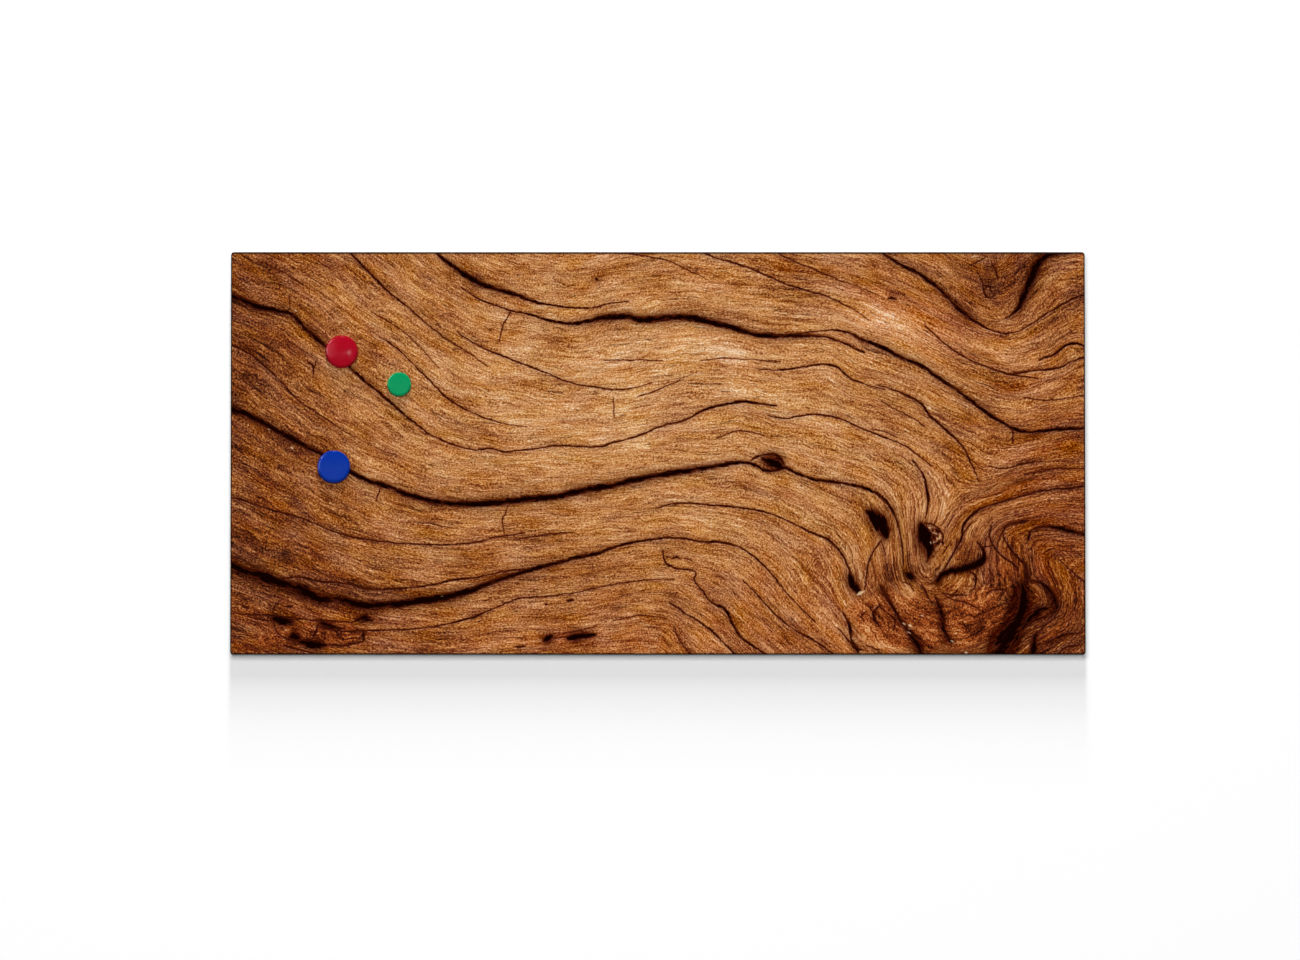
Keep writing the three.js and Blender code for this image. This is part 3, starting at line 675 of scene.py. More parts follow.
def follow(slope_x, slope_z):
    """The field whose slopes come closest to the wanted ones."""
    wanted = np.zeros(slope_x.shape)
    between_x = (slope_x[:, 1:] + slope_x[:, :-1]) / 2 / cell_x
    between_z = (slope_z[1:] + slope_z[:-1]) / 2 / cell_z
    wanted[:, :-1] -= between_x
    wanted[:, 1:] += between_x
    wanted[:-1] -= between_z
    wanted[1:] += between_z
    mirrored = np.block([[wanted, wanted[:, ::-1]], [wanted[::-1], wanted[::-1, ::-1]]])
    rows, columns = mirrored.shape
    curve_x = (2 - 2 * np.cos(2 * np.pi * np.fft.fftfreq(columns))) / cell_x**2
    curve_z = (2 - 2 * np.cos(2 * np.pi * np.fft.fftfreq(rows))) / cell_z**2
    curve = curve_z[:, None] + curve_x[None, :]
    curve[0, 0] = 1
    spectrum = np.fft.fft2(mirrored) / curve
    return np.fft.ifft2(spectrum).real[: rows // 2, : columns // 2]


along_grain = follow(fibre_x, fibre_z)
across_grain = follow(-fibre_z, fibre_x)
print("along the grain:", along_grain.min().round(), "to", along_grain.max().round(), "mm")
print("across the grain:", across_grain.min().round(), "to", across_grain.max().round(), "mm")

# %% [markdown]
# ## Paler and darker areas
#
# The wood is golden in the middle and darker towards the left, the lower corners and the burl.
# About a hundred soft patches give the print that change. The first list is the tone, from the broad
# areas down to the loose pieces of the burl. The others are the deep shade in hollows, the crumbled
# wood, and the redder and greyer areas.

# %% Soft patches: (middle in pixels, half sizes in pixels, turn in degrees, amount)
BASE_TONE = 0.496
TONE_PATCHES = [
    # the golden middle, and the darker ends
    ((650, 400), (280, 120), -8, 0.17),
    ((235, 430), (95, 320), 0, -0.17),
    ((330, 640), (220, 60), 0, -0.10),
    ((285, 628), (60, 24), 0, 0.06),
    ((885, 322), (44, 20), -20, 0.17),
    ((710, 350), (70, 14), -4, 0.08),
    ((790, 585), (110, 40), -35, 0.06),
    ((1085, 450), (120, 220), 0, -0.08),
    ((1010, 275), (65, 42), 0, -0.12),
    ((1060, 620), (70, 80), 0, -0.20),
    ((1050, 520), (60, 40), 0, -0.07),
    ((940, 620), (80, 45), 0, -0.06),
    ((800, 610), (60, 40), 0, -0.05),
    ((1040, 370), (50, 60), 0, 0.08),
    ((450, 625), (70, 28), 0, 0.08),
    ((265, 340), (50, 30), 0, -0.05),
    ((280, 535), (60, 25), 0, -0.06),
    ((700, 350), (60, 10), -4, 0.06),
    ((965, 300), (10, 16), -35, -0.08),
    ((990, 280), (8, 15), 0, -0.12),
    ((885, 322), (40, 16), -20, 0.09),
    ((335, 580), (60, 15), -12, -0.10),
    ((625, 620), (60, 18), 0, 0.04),
    ((630, 518), (70, 12), 0, 0.04),
    ((710, 350), (60, 12), -4, 0.05),
    ((280, 268), (60, 20), 0, -0.04),
    ((265, 330), (40, 24), 0, -0.03),
    ((1040, 460), (50, 22), 0, -0.05),
    ((330, 575), (60, 16), -12, -0.04),
    ((930, 628), (70, 26), 0, -0.07),
    # grey-brown clouds and dark hollows
    ((560, 345), (26, 9), -20, -0.10),
    ((610, 328), (34, 6), -4, -0.08),
    ((455, 318), (34, 12), -30, -0.07),
    ((1000, 376), (22, 12), -30, -0.10),
    ((967, 552), (11, 10), 0, -0.20),
    ((891, 574), (9, 14), 0, -0.27),
    # the pieces of the burl
    ((957, 581), (17, 7), 5, 0.17),
    ((997, 566), (14, 12), 0, 0.10),
    ((975, 598), (24, 5), -8, 0.10),
    ((950, 606), (6, 8), 0, 0.09),
    ((908, 594), (9, 8), -30, 0.14),
    ((900, 606), (6, 10), 0, 0.07),
    ((862, 630), (14, 5), -40, 0.20),
    ((884, 645), (21, 5), -12, 0.24),
    ((957, 629), (13, 7), -55, 0.26),
    ((928, 629), (8, 8), 0, 0.08),
    ((1036, 598), (6, 11), 0, 0.17),
    ((1031, 612), (5, 5), 30, 0.08),
    ((1029, 645), (3, 9), -10, 0.14),
    ((1046, 628), (8, 4), 30, 0.06),
    ((929, 648), (6, 4), 0, -0.14),
    ((856, 648), (4, 4), 0, -0.24),
    ((974, 630), (9, 16), 0, -0.10),
    ((934, 536), (10, 11), 0, -0.12),
    ((908, 560), (10, 14), 0, -0.10),
    ((342, 634), (26, 9), 0, -0.12),
]
SHADE_PATCHES = [
    ((1018, 600), (10, 18), 0, 0.95),
    ((1008, 606), (12, 20), 0, 0.35),
    ((1011, 633), (25, 10), 58, 1.1),
    ((992, 645), (11, 15), 0, 0.7),
    ((316, 336), (13, 5), -42, 0.5),
    ((773, 462), (9, 7), 0, 0.6),
    ((957, 652), (60, 3), 0, 0.5),
    ((1015, 648), (14, 4), 50, 0.3),
    ((941, 616), (5, 19), 8, 0.65),
    ((946, 642), (9, 5), 0, 0.5),
    ((906, 627), (22, 5), -51, 0.6),
    ((918, 645), (8, 5), 0, 0.5),
    ((882, 591), (9, 5), -40, 0.6),
    ((876, 614), (8, 9), 0, 0.5),
    ((855, 645), (6, 4), 0, 0.5),
    ((1036, 615), (13, 4), 35, 0.6),
    ((1051, 602), (4, 12), 12, 0.5),
    ((1032, 647), (3, 11), -8, 0.8),
    ((1028, 571), (3, 12), 0, 0.45),
    ((924, 566), (7, 8), 0, 0.5),
    ((926, 549), (9, 10), 0, 0.4),
    ((887, 577), (6, 12), 0, 0.3),
    ((936, 583), (5, 4), 0, 0.4),
]
CRUMBLED_PATCHES = [
    ((920, 624), (64, 28), 0, 1.2),
    ((884, 610), (24, 22), 0, 0.6),
    ((985, 610), (24, 24), 0, 0.8),
    ((340, 634), (40, 12), 0, 0.9),
    ((285, 640), (40, 14), 0, 0.6),
    ((565, 640), (34, 8), 0, 0.4),
    ((935, 536), (9, 12), 0, 0.8),
]
RED_PATCHES = [
    ((1065, 520), (80, 120), 0, 1),
    ((1000, 568), (26, 16), 0, 0.8),
    ((830, 610), (110, 50), 0, 0.8),
    ((620, 640), (160, 26), 0, 0.8),
    ((310, 620), (90, 34), 0, 0.6),
    ((320, 634), (48, 13), 0, 1.2),
    ((566, 637), (34, 11), 0, 1.6),
    ((925, 322), (70, 26), -20, 1.5),
    ((620, 390), (270, 150), 0, -0.45),
]


def soft_patches(patches):
    """The sum of soft round patches over the print."""
    total = np.zeros(grid_x.shape)
    for centre, sizes, degrees, amount in patches:
        x, z = face_point(*centre)
        turn = math.radians(degrees)
        right = (grid_x - x) * math.cos(turn) + (grid_z - z) * math.sin(turn)
        up = (grid_z - z) * math.cos(turn) - (grid_x - x) * math.sin(turn)
        square = (right / sizes[0]) ** 2 + (up / sizes[1]) ** 2
        total += amount * np.exp(-square * PIXELS_PER_MM**2)
    return total


tone = BASE_TONE + soft_patches(TONE_PATCHES)
crumbled = soft_patches(CRUMBLED_PATCHES)
redness_field = soft_patches(RED_PATCHES)
shade_field = np.clip(crack_shade + soft_patches(SHADE_PATCHES), 0, 1)
print("tone from", tone.min().round(2), "to", tone.max().round(2))

# %% [markdown]
# ## Handing the print to the film
#
# Each field is read at the print place of every point of the film and stored as an attribute,
# which a material reads by its name. The film also gets its own flat UV map: the front and the
# fold fill most of it, and the inside of the film lies in a narrow strip above them.

# %% Attributes and UV map of the film


def read_field(field):
    """The value of a grid field at every point of the film."""
    column = (print_x - field_x[0]) / cell_x
    row = (print_z - field_z[0]) / cell_z
    left = np.clip(np.floor(column).astype(int), 0, field.shape[1] - 2)
    below = np.clip(np.floor(row).astype(int), 0, field.shape[0] - 2)
    share_x = column - left
    share_z = row - below
    low = field[below, left] * (1 - share_x) + field[below, left + 1] * share_x
    high = field[below + 1, left] * (1 - share_x) + field[below + 1, left + 1] * share_x
    return low * (1 - share_z) + high * share_z


def store(name, *fields):
    """Stores up to three fields as one attribute of the film."""
    values = np.zeros((len(print_x), 3), np.float32)
    for i, field in enumerate(fields):
        values[:, i] = field if field.shape == print_x.shape else read_field(field)
    attribute = film.data.attributes.new(name, "FLOAT_VECTOR", "POINT")
    attribute.data.foreach_set("vector", values.ravel())


store("grain", along_grain, across_grain)
store("redness", redness_field)
store("tone", tone, crumbled, shade_field)
store("fold", beyond)
for number, fields in enumerate(layer_fields):
    store(f"crack_{number}", *fields)
store("pale", *pale_fields)

UV_FACE_SHARE = 0.96
UV_GAP = 0.01
UV_STRIP = 0.02
uv_half_x = flat_x + FOLD_OUTER_MM * 2
uv_half_z = flat_z + FOLD_OUTER_MM * 2
loop_points = np.empty(len(film.data.loops), int)
film.data.loops.foreach_get("vertex_index", loop_points)
loop_faces = np.repeat(
    np.arange(len(film.data.polygons)), [face.loop_total for face in film.data.polygons]
)
FLAT_FACES = FILM_COLUMNS * FILM_ROWS
RIM_FACES = 2 * (FILM_COLUMNS + FILM_ROWS)
face_inner = np.arange(len(film.data.polygons)) >= FLAT_FACES + FOLD_STEPS * RIM_FACES
uv = np.stack([print_x / uv_half_x, print_z / uv_half_z], axis=1) / 2 + 0.5
uv = uv[loop_points]
inner = face_inner[loop_faces]
uv_inner = UV_FACE_SHARE + UV_GAP + UV_STRIP * uv[:, 1]
uv[:, 1] = np.where(inner, uv_inner, UV_FACE_SHARE * uv[:, 1])
bake_map = film.data.uv_layers.new(name="OFBake")
bake_map.data.foreach_set("uv", uv.ravel())
print("attributes:", [a.name for a in film.data.attributes if a.data_type == "FLOAT_VECTOR"])

# %% [markdown]
# ## Helpers for materials
#
# A material is a tree of nodes, and each node does one small sum or draws one pattern. One helper
# adds any kind of node, and fills its sockets with values or with links to other nodes. Colours
# are written as they look on a screen, and Blender wants them linear. Patterns are measured in
# millimetres of the piece itself, so that they keep their real size.

# %% Helpers for materials
NODE_STEP = 200
NODE_DROP = 60


def linear(color):
    """An sRGB hex value as the linear colour of a socket."""
    channels = [(color >> shift & 255) / 255 for shift in (16, 8, 0)]
    return [c / 12.92 if c <= 0.04045 else ((c + 0.055) / 1.055) ** 2.4 for c in channels] + [1.0]


def set_sockets(node, sockets):
    """Gives each socket a value, a link to another socket, or a link to a node's first output."""
    for socket, value in sockets.items():
        if isinstance(value, bpy.types.Node):
            value = value.outputs[0]
        if isinstance(value, bpy.types.NodeSocket):
            node.id_data.links.new(value, node.inputs[socket])
            node.location.x = max(node.location.x, value.node.location.x + NODE_STEP)
        else:
            node.inputs[socket].default_value = value


def add_node(tree, kind, sockets=None, **settings):
    """Adds a node, sets its properties, and fills its sockets."""
    node = tree.nodes.new(f"ShaderNode{kind}")
    for name, value in settings.items():
        setattr(node, name, value)
    set_sockets(node, sockets or {})
    node.location.y = -NODE_DROP * len(tree.nodes)
    return node


def new_material(name, sockets):
    """A material, its node tree and its surface node with some sockets set."""
    material = bpy.data.materials.new(name)
    material.use_nodes = True
    surface = material.node_tree.nodes["Principled BSDF"]
    set_sockets(surface, sockets)
    return material, material.node_tree, surface


def set_stops(ramp_node, stops):
    """Gives a colour ramp its stops, from a list of (position, sRGB hex value)."""
    elements = ramp_node.color_ramp.elements
    while len(elements) < len(stops):
        elements.new(0.5)
    for element, (position, color) in zip(elements, stops):
        element.position = position
        element.color = linear(color)


def object_place(tree, size_mm, flat=False):
    """The piece's own place in steps of a size. A flat one is the same at every depth."""
    place = add_node(tree, "TexCoord")
    steps = 1 / (size_mm * MM)
    return add_node(
        tree, "VectorMath",
        {0: place.outputs["Object"], 1: (steps, 0 if flat else steps, steps)},
        operation="MULTIPLY",
    )


def object_noise(tree, size_mm, detail, flat=False):
    """Noise of a size in millimetres on the piece's own place."""
    place = object_place(tree, size_mm, flat)
    return add_node(tree, "TexNoise", {"Vector": place, "Scale": 1, "Detail": detail})


# %% [markdown]
# ## The printed picture of old wood
#
# The film is a print under a satin laminate, so the material has no real cracks: it is all colour.
# Several patterns are stretched along the grain, from broad clouds to grit. The fibres also wave
# slowly between the cracks and tremble finely, so that they never look combed. All patterns, and
# fine specks that don't follow the grain, are added to the tone of the place, and a ramp turns the
# sum into wood colours. The white room would veil a full gloss from the front, which the
# photograph doesn't show, so the specular level is low.

# %% Film: the fibres
FILM_ROUGHNESS = 0.5
FILM_SHINE = 0.004
WAVE_ALONG_MM = 60
WAVE_ACROSS_MM = 20
WAVE_PUSH_MM = 9
TREMBLE_MM = 7
TREMBLE_PUSH_MM = (5, 2.4, 0)
FIBRE_BLUNTNESS = 0.62
NOISE_MIDDLE = 0.5
# title, length along and width across the grain in mm, detail, and how much it counts
FIBRE_PATTERNS = [
    ("clouds", 60, 26, 2, 0.34),
    ("broad bands", 150, 9, 2, 0.26),
    ("streaks", 46, 3, 2, 0.40),
    ("fibres", 15, 1.3, 2, 0.70),
    ("grit", 1.8, 1.1, 1, 0.75),
]
SPECK_MM = 1.5
SPECK_AMOUNT = 0.55
WOOD_TONES = [
    (0.00, 0x140803),
    (0.12, 0x3E1B10),
    (0.25, 0x612C19),
    (0.38, 0x884823),
    (0.50, 0xA86636),
    (0.62, 0xC68751),
    (0.75, 0xDA9F69),
    (0.88, 0xE9BB8C),
    (1.00, 0xF7DCBC),
]
material, tree, surface = new_material(
    "laminated_print_on_film",
    {"Roughness": FILM_ROUGHNESS, "IOR": 1.5, "Specular IOR Level": FILM_SHINE},
)
film.data.materials.append(material)
grain = add_node(tree, "Attribute", attribute_name="grain").outputs["Vector"]
tone_values = add_node(tree, "Attribute", attribute_name="tone")
tone_parts = add_node(tree, "SeparateXYZ", {0: tone_values.outputs["Vector"]})
wave_place = add_node(
    tree, "VectorMath",
    {0: grain, 1: (1 / WAVE_ALONG_MM, 1 / WAVE_ACROSS_MM, 0)},
    operation="MULTIPLY",
)
wave = add_node(
    tree, "TexNoise", {"Vector": wave_place, "Scale": 1, "Detail": 2}, noise_dimensions="2D"
)
waved = add_node(
    tree, "VectorMath",
    {0: wave.outputs["Color"], 1: (0, WAVE_PUSH_MM, 0), 2: grain},
    operation="MULTIPLY_ADD",
)
tremble = object_noise(tree, TREMBLE_MM, detail=1, flat=True)
fibre_place = add_node(
    tree, "VectorMath",
    {0: tremble.outputs["Color"], 1: TREMBLE_PUSH_MM, 2: waved},
    operation="MULTIPLY_ADD",
)


def grain_noise(title, length_mm, width_mm, detail):
    """Noise stretched along the grain, around zero."""
    stretched = add_node(
        tree, "VectorMath", {0: fibre_place, 1: (1 / length_mm, 1 / width_mm, 0)}, operation="MULTIPLY"
    )
    pattern = add_node(
        tree, "TexNoise",
        {"Vector": stretched, "Scale": 1, "Detail": detail, "Roughness": FIBRE_BLUNTNESS},
        label=title, noise_dimensions="2D",
    )
    return add_node(tree, "Math", {0: pattern, 1: NOISE_MIDDLE}, operation="SUBTRACT")


level = tone_parts.outputs["X"]
for title, length_mm, width_mm, detail, amount in FIBRE_PATTERNS:
    pattern = grain_noise(title, length_mm, width_mm, detail)
    level = add_node(tree, "Math", {0: pattern, 1: amount, 2: level}, operation="MULTIPLY_ADD")
speck_noise = object_noise(tree, SPECK_MM, detail=1, flat=True)
specks = add_node(tree, "Math", {0: speck_noise, 1: NOISE_MIDDLE}, operation="SUBTRACT")
level = add_node(tree, "Math", {0: specks, 1: SPECK_AMOUNT, 2: level}, operation="MULTIPLY_ADD")
wood = add_node(tree, "ValToRGB", {0: level})
set_stops(wood, WOOD_TONES)
print("wood colours:", len(WOOD_TONES), "stops")

# %% [markdown]
# Old wood isn't all of one brown. Some streaks are redder and some are grey-green, so a slow noise
# turns the hue and another changes how strong the colour is. The areas marked as red add to both.

# %% Film: redder and greyer streaks
# title, length and width in mm, swing of the noise, pull of the red areas, and resting value
HUE_DRIFT = ("hue", 45, 12, 0.012, -0.017, 0.5)
STRENGTH_DRIFT = ("strength of colour", 35, 14, 0.18, 0.06, 1.015)
redness = add_node(tree, "Attribute", attribute_name="redness").outputs["Fac"]
drifts = []
for title, length_mm, width_mm, swing, red_pull, resting in (HUE_DRIFT, STRENGTH_DRIFT):
    pulled = add_node(tree, "Math", {0: redness, 1: red_pull, 2: resting}, operation="MULTIPLY_ADD")
    noise = grain_noise(title, length_mm, width_mm, 1)
    drifts.append(add_node(tree, "Math", {0: noise, 1: swing, 2: pulled}, operation="MULTIPLY_ADD"))
hued = add_node(tree, "HueSaturation", {"Hue": drifts[0], "Saturation": drifts[1], "Color": wood})
print("drifting colour:", ", ".join(drift[0] for drift in (HUE_DRIFT, STRENGTH_DRIFT)))

# %% [markdown]
# The burl and a few spots near the lower edge are rotten and have lost their straight fibres. The
# fibres are torn about in swirls there, with crumbs between them, in red-brown colours of their
# own. The swirls also make the border of the spots ragged.

# %% Film: crumbled wood
SWIRL_MM = 22
SWIRL_PUSH_MM = 26
TORN_LENGTH_MM = 14
TORN_WIDTH_MM = 2.4
CRUMB_MM = 5
CRUMB_BLUNTNESS = 0.6
CRUMB_DISTORTION = 0.8
TORN_AMOUNT = 1.1
CRUMB_AMOUNT = 0.8
SWIRL_AMOUNT = 0.5
RAGGED_AMOUNT = 1.6
RAGGED_START = 0.3
RAGGED_END = 0.65
CRUMB_TONES = [
    (0.00, 0x160804),
    (0.14, 0x3A1509),
    (0.28, 0x642710),
    (0.42, 0x8E4017),
    (0.56, 0xB05D29),
    (0.72, 0xD28A4D),
    (1.00, 0xF0C896),
]
swirl = object_noise(tree, SWIRL_MM, detail=2, flat=True)
swirled = add_node(
    tree, "VectorMath",
    {0: swirl.outputs["Color"], 1: (SWIRL_PUSH_MM, SWIRL_PUSH_MM, 0), 2: grain},
    operation="MULTIPLY_ADD",
)
torn_place = add_node(
    tree, "VectorMath",
    {0: swirled, 1: (1 / TORN_LENGTH_MM, 1 / TORN_WIDTH_MM, 0)},
    operation="MULTIPLY",
)
torn_fibres = add_node(
    tree, "TexNoise",
    {"Vector": torn_place, "Scale": 1, "Detail": 4, "Roughness": CRUMB_BLUNTNESS},
    noise_dimensions="2D",
)
crumbs = add_node(
    tree, "TexNoise",
    {"Vector": object_place(tree, CRUMB_MM, flat=True), "Scale": 1, "Detail": 4,
     "Roughness": CRUMB_BLUNTNESS, "Distortion": CRUMB_DISTORTION},
)
crumb_level = add_node(
    tree, "Math",
    {0: specks, 1: 2 * SPECK_AMOUNT, 2: tone_parts.outputs["X"]},
    operation="MULTIPLY_ADD",
)
crumb_parts = [(torn_fibres, TORN_AMOUNT), (crumbs, CRUMB_AMOUNT), (swirl, SWIRL_AMOUNT)]
for noise, amount in crumb_parts:
    centred = add_node(tree, "Math", {0: noise, 1: NOISE_MIDDLE}, operation="SUBTRACT")
    crumb_level = add_node(
        tree, "Math", {0: centred, 1: amount, 2: crumb_level}, operation="MULTIPLY_ADD"
    )
crumb_wood = add_node(tree, "ValToRGB", {0: crumb_level})
set_stops(crumb_wood, CRUMB_TONES)

# the swirl comes last in the list above, so it is the centred one here
ragged = add_node(
    tree, "Math", {0: centred, 1: RAGGED_AMOUNT, 2: tone_parts.outputs["Y"]}, operation="MULTIPLY_ADD"
)
crumbled_mask = add_node(
    tree, "MapRange",
    {0: ragged, "From Min": RAGGED_START, "From Max": RAGGED_END},
    interpolation_type="SMOOTHSTEP",
)
picture = add_node(tree, "Mix", {0: crumbled_mask, 6: hued, 7: crumb_wood}, data_type="RGBA")
print("crumbled wood:", len(crumb_parts), "patterns and the specks")

# %% [markdown]
# Hairline cracks are too many to place one by one. They are drawn where a noise stretched along
# the grain passes through zero, which is a thin wandering line, and a second noise lets only some
# lengths of the line show.

# %% Film: hairlines
# title, length and width of the noise in mm, and width of the line in parts of the noise
HAIRLINES = [("hairlines", 85, 5.5, 0.016), ("short hairlines", 30, 2.4, 0.02)]
HAIRLINE_COLOR = 0x6A3A22
GATE_START = 0.02
GATE_END = 0.12
HAIRLINE_STRENGTH = 0.75
for title, length_mm, width_mm, width in HAIRLINES:
    wander = grain_noise(title, length_mm, width_mm, 1)
    crossing = add_node(tree, "Math", {0: wander}, operation="ABSOLUTE")
    line = add_node(
        tree, "MapRange",
        {0: crossing, "From Min": width / 3, "From Max": width, "To Min": 1, "To Max": 0},
    )
    gate_noise = grain_noise(f"gate of the {title}", length_mm / 2, width_mm * 2, 1)
    gate = add_node(
        tree, "MapRange",
        {0: gate_noise, "From Min": GATE_START, "From Max": GATE_END, "To Max": HAIRLINE_STRENGTH},
    )
    shown = add_node(tree, "Math", {0: line, 1: gate}, operation="MULTIPLY")
    picture = add_node(
        tree, "Mix",
        {0: shown, 6: picture.outputs[2], 7: linear(HAIRLINE_COLOR)},
        data_type="RGBA", blend_type="MULTIPLY",
    )
print("hairlines:", ", ".join(title for title, *_ in HAIRLINES))

# %% [markdown]
# The crack layers are joined by taking, at each spot, the layer whose edge is deepest inside a
# crack. Noise frays that edge: a fine one for splinters, a slow one for the width, and one that
# moves the whole line about. A thick crack also gets a lip along its lower side.

# %% Film: the edges of the cracks
# title, length and width in mm, and how much it counts
FRAYS = [("splinters", 5, 1.6, 1.5), ("width of the cracks", 20, 9, 1.9)]
WOBBLE_SIZE_MM = 9
WOBBLE_MM = 2.6
LIP_SIDE_MM = 0.5
THICK_MM = 0.75
THICK_SLOPE = 3

fray = 1
for title, length_mm, width_mm, amount in FRAYS:
    noise = grain_noise(title, length_mm, width_mm, 2)
    fray = add_node(tree, "Math", {0: noise, 1: amount, 2: fray}, operation="MULTIPLY_ADD")
wobble = grain_noise("wobble", WOBBLE_SIZE_MM, WOBBLE_SIZE_MM, 2)


def layer_edge(name):
    """How far outside the nearest crack of a layer, and outside its lip, in millimetres."""
    values = add_node(tree, "Attribute", attribute_name=name)
    parts = add_node(tree, "SeparateXYZ", {0: values.outputs["Vector"]})
    side, half_width = parts.outputs["X"], parts.outputs["Y"]
    moved = add_node(tree, "Math", {0: wobble, 1: WOBBLE_MM, 2: side}, operation="MULTIPLY_ADD")
    away = add_node(tree, "Math", {0: moved}, operation="ABSOLUTE")
    half = add_node(tree, "Math", {0: half_width, 1: fray}, operation="MULTIPLY")
    edge = add_node(tree, "Math", {0: away, 1: half}, operation="SUBTRACT")
    other_side = add_node(tree, "Math", {0: moved, 1: LIP_SIDE_MM}, operation="ADD")
    lip = add_node(tree, "Math", {0: edge, 1: other_side}, operation="MAXIMUM")
    thin = add_node(
        tree, "Math",
        {0: half_width, 1: -THICK_SLOPE, 2: THICK_SLOPE * THICK_MM},
        operation="MULTIPLY_ADD",
    )
    return edge, add_node(tree, "Math", {0: lip, 1: thin}, operation="MAXIMUM")


depth, lip_depth = layer_edge("crack_0")
for number in range(1, len(layer_fields)):
    depth, lip_depth = [
        add_node(tree, "Math", {0: least, 1: edge}, operation="MINIMUM")
        for least, edge in zip((depth, lip_depth), layer_edge(f"crack_{number}"))
    ]
print("crack layers:", len(layer_fields))

# %% [markdown]
# The distances become soft masks. First comes the soft shade of the hollows. The lip of a thick
# crack is paler than the wood, and the wood is rusty close to any crack. Inside, torn fibres of a
# reddish brown show before the nearly black middle.

# %% Film: the colours of the cracks
LIP_START_MM = 0.5
LIP_END_MM = 1.5
LIP_STRENGTH = 0.6
LIP_SATURATION = 0.8
LIP_BRIGHTNESS = 1.3
RUST_START_MM = 0.9
RUST_END_MM = -0.1
EDGE_SOFT_MM = 0.35
DEEP_START_MM = 0.3
DEEP_END_MM = -0.7
DEEPEST_START_MM = -0.6
DEEPEST_END_MM = -1.3
TORN_CONTRAST = 2.6
TORN_DARKNESS = 0.8
SHADE_COLOR = 0x7A4C34
RUST_COLOR = 0xBC7F50
CRACK_BROWN = 0x541D08
CRACK_BLACK = 0x0E0100
lip_mask = add_node(
    tree, "MapRange",
    {0: lip_depth, "From Min": LIP_START_MM, "From Max": LIP_END_MM,
     "To Min": LIP_STRENGTH, "To Max": 0},
)
rust_mask = add_node(tree, "MapRange", {0: depth, "From Min": RUST_START_MM, "From Max": RUST_END_MM})
crack_mask = add_node(
    tree, "MapRange",
    {0: depth, "From Min": -EDGE_SOFT_MM, "From Max": EDGE_SOFT_MM, "To Min": 1, "To Max": 0},
    interpolation_type="SMOOTHSTEP",
)
deep = add_node(tree, "MapRange", {0: depth, "From Min": DEEP_START_MM, "From Max": DEEP_END_MM})
deepest = add_node(
    tree, "MapRange", {0: depth, "From Min": DEEPEST_START_MM, "From Max": DEEPEST_END_MM}
)
torn = add_node(
    tree, "Math",
    {0: grain_noise("fibres in the cracks", 22, 1.3, 1), 1: TORN_CONTRAST, 2: TORN_DARKNESS},
    operation="MULTIPLY_ADD", use_clamp=True,
)
dark = add_node(tree, "Math", {0: torn, 1: deepest}, operation="MAXIMUM")
blackness = add_node(tree, "Math", {0: deep, 1: dark}, operation="MULTIPLY")
crack_color = add_node(
    tree, "Mix", {0: blackness, 6: linear(CRACK_BROWN), 7: linear(CRACK_BLACK)}, data_type="RGBA"
)
shaded = add_node(
    tree, "Mix",
    {0: tone_parts.outputs["Z"], 6: picture.outputs[2], 7: linear(SHADE_COLOR)},
    data_type="RGBA", blend_type="MULTIPLY",
)
lipped = add_node(
    tree, "HueSaturation",
    {"Fac": lip_mask, "Color": shaded.outputs[2],
     "Saturation": LIP_SATURATION, "Value": LIP_BRIGHTNESS},
)
rusted = add_node(
    tree, "Mix",
    {0: rust_mask, 6: lipped, 7: linear(RUST_COLOR)},
    data_type="RGBA", blend_type="MULTIPLY",
)
cracked = add_node(
    tree, "Mix", {0: crack_mask, 6: rusted.outputs[2], 7: crack_color.outputs[2]}, data_type="RGBA"
)
print("crack colours:", f"from #{CRACK_BROWN:06X} to #{CRACK_BLACK:06X}")

# %% [markdown]
# The pale splinters come last. A dark line runs all round the picture, where the film turns over the
# edge of the tray. It is painted shade, standing for the fold turning away from the light. It is wider
# along the upper edge, where it also keeps the light of the ceiling panels off the fold. The satin of
# the laminate is a very fine pebble, drawn coarser than it is so that it shows.

# %% Film: splinters, the painted shade of the fold and the satin surface
SPLINTER_COLOR = 0xE6BE93
SPLINTER_SOFT_MM = 0.4
SPLINTER_STRENGTH = 0.8
# colour of the painted shade on the fold, where the film turns away from the light
FOLD_SHADE_COLOR = 0x24130B
FOLD_SHADE_START_MM = 0.55
FOLD_SHADE_END_MM = 1.15
TOP_FOLD_SHADE_START_MM = 182.9
TOP_FOLD_SHADE_END_MM = 183.6
TOP_FOLD_SHADE_STRENGTH = 0.85
PEBBLE_MM = 0.8
PEBBLE_HEIGHT_MM = 0.05
PEBBLE_STRENGTH = 0.15
SATIN_ROUGHNESS = (FILM_ROUGHNESS - 0.06, FILM_ROUGHNESS + 0.08)
pale_edge, _ = layer_edge("pale")
pale_mask = add_node(
    tree, "MapRange",
    {0: pale_edge, "From Min": -SPLINTER_SOFT_MM, "From Max": SPLINTER_SOFT_MM,
     "To Min": SPLINTER_STRENGTH, "To Max": 0},
)
splintered = add_node(
    tree, "Mix", {0: pale_mask, 6: cracked.outputs[2], 7: linear(SPLINTER_COLOR)}, data_type="RGBA"
)
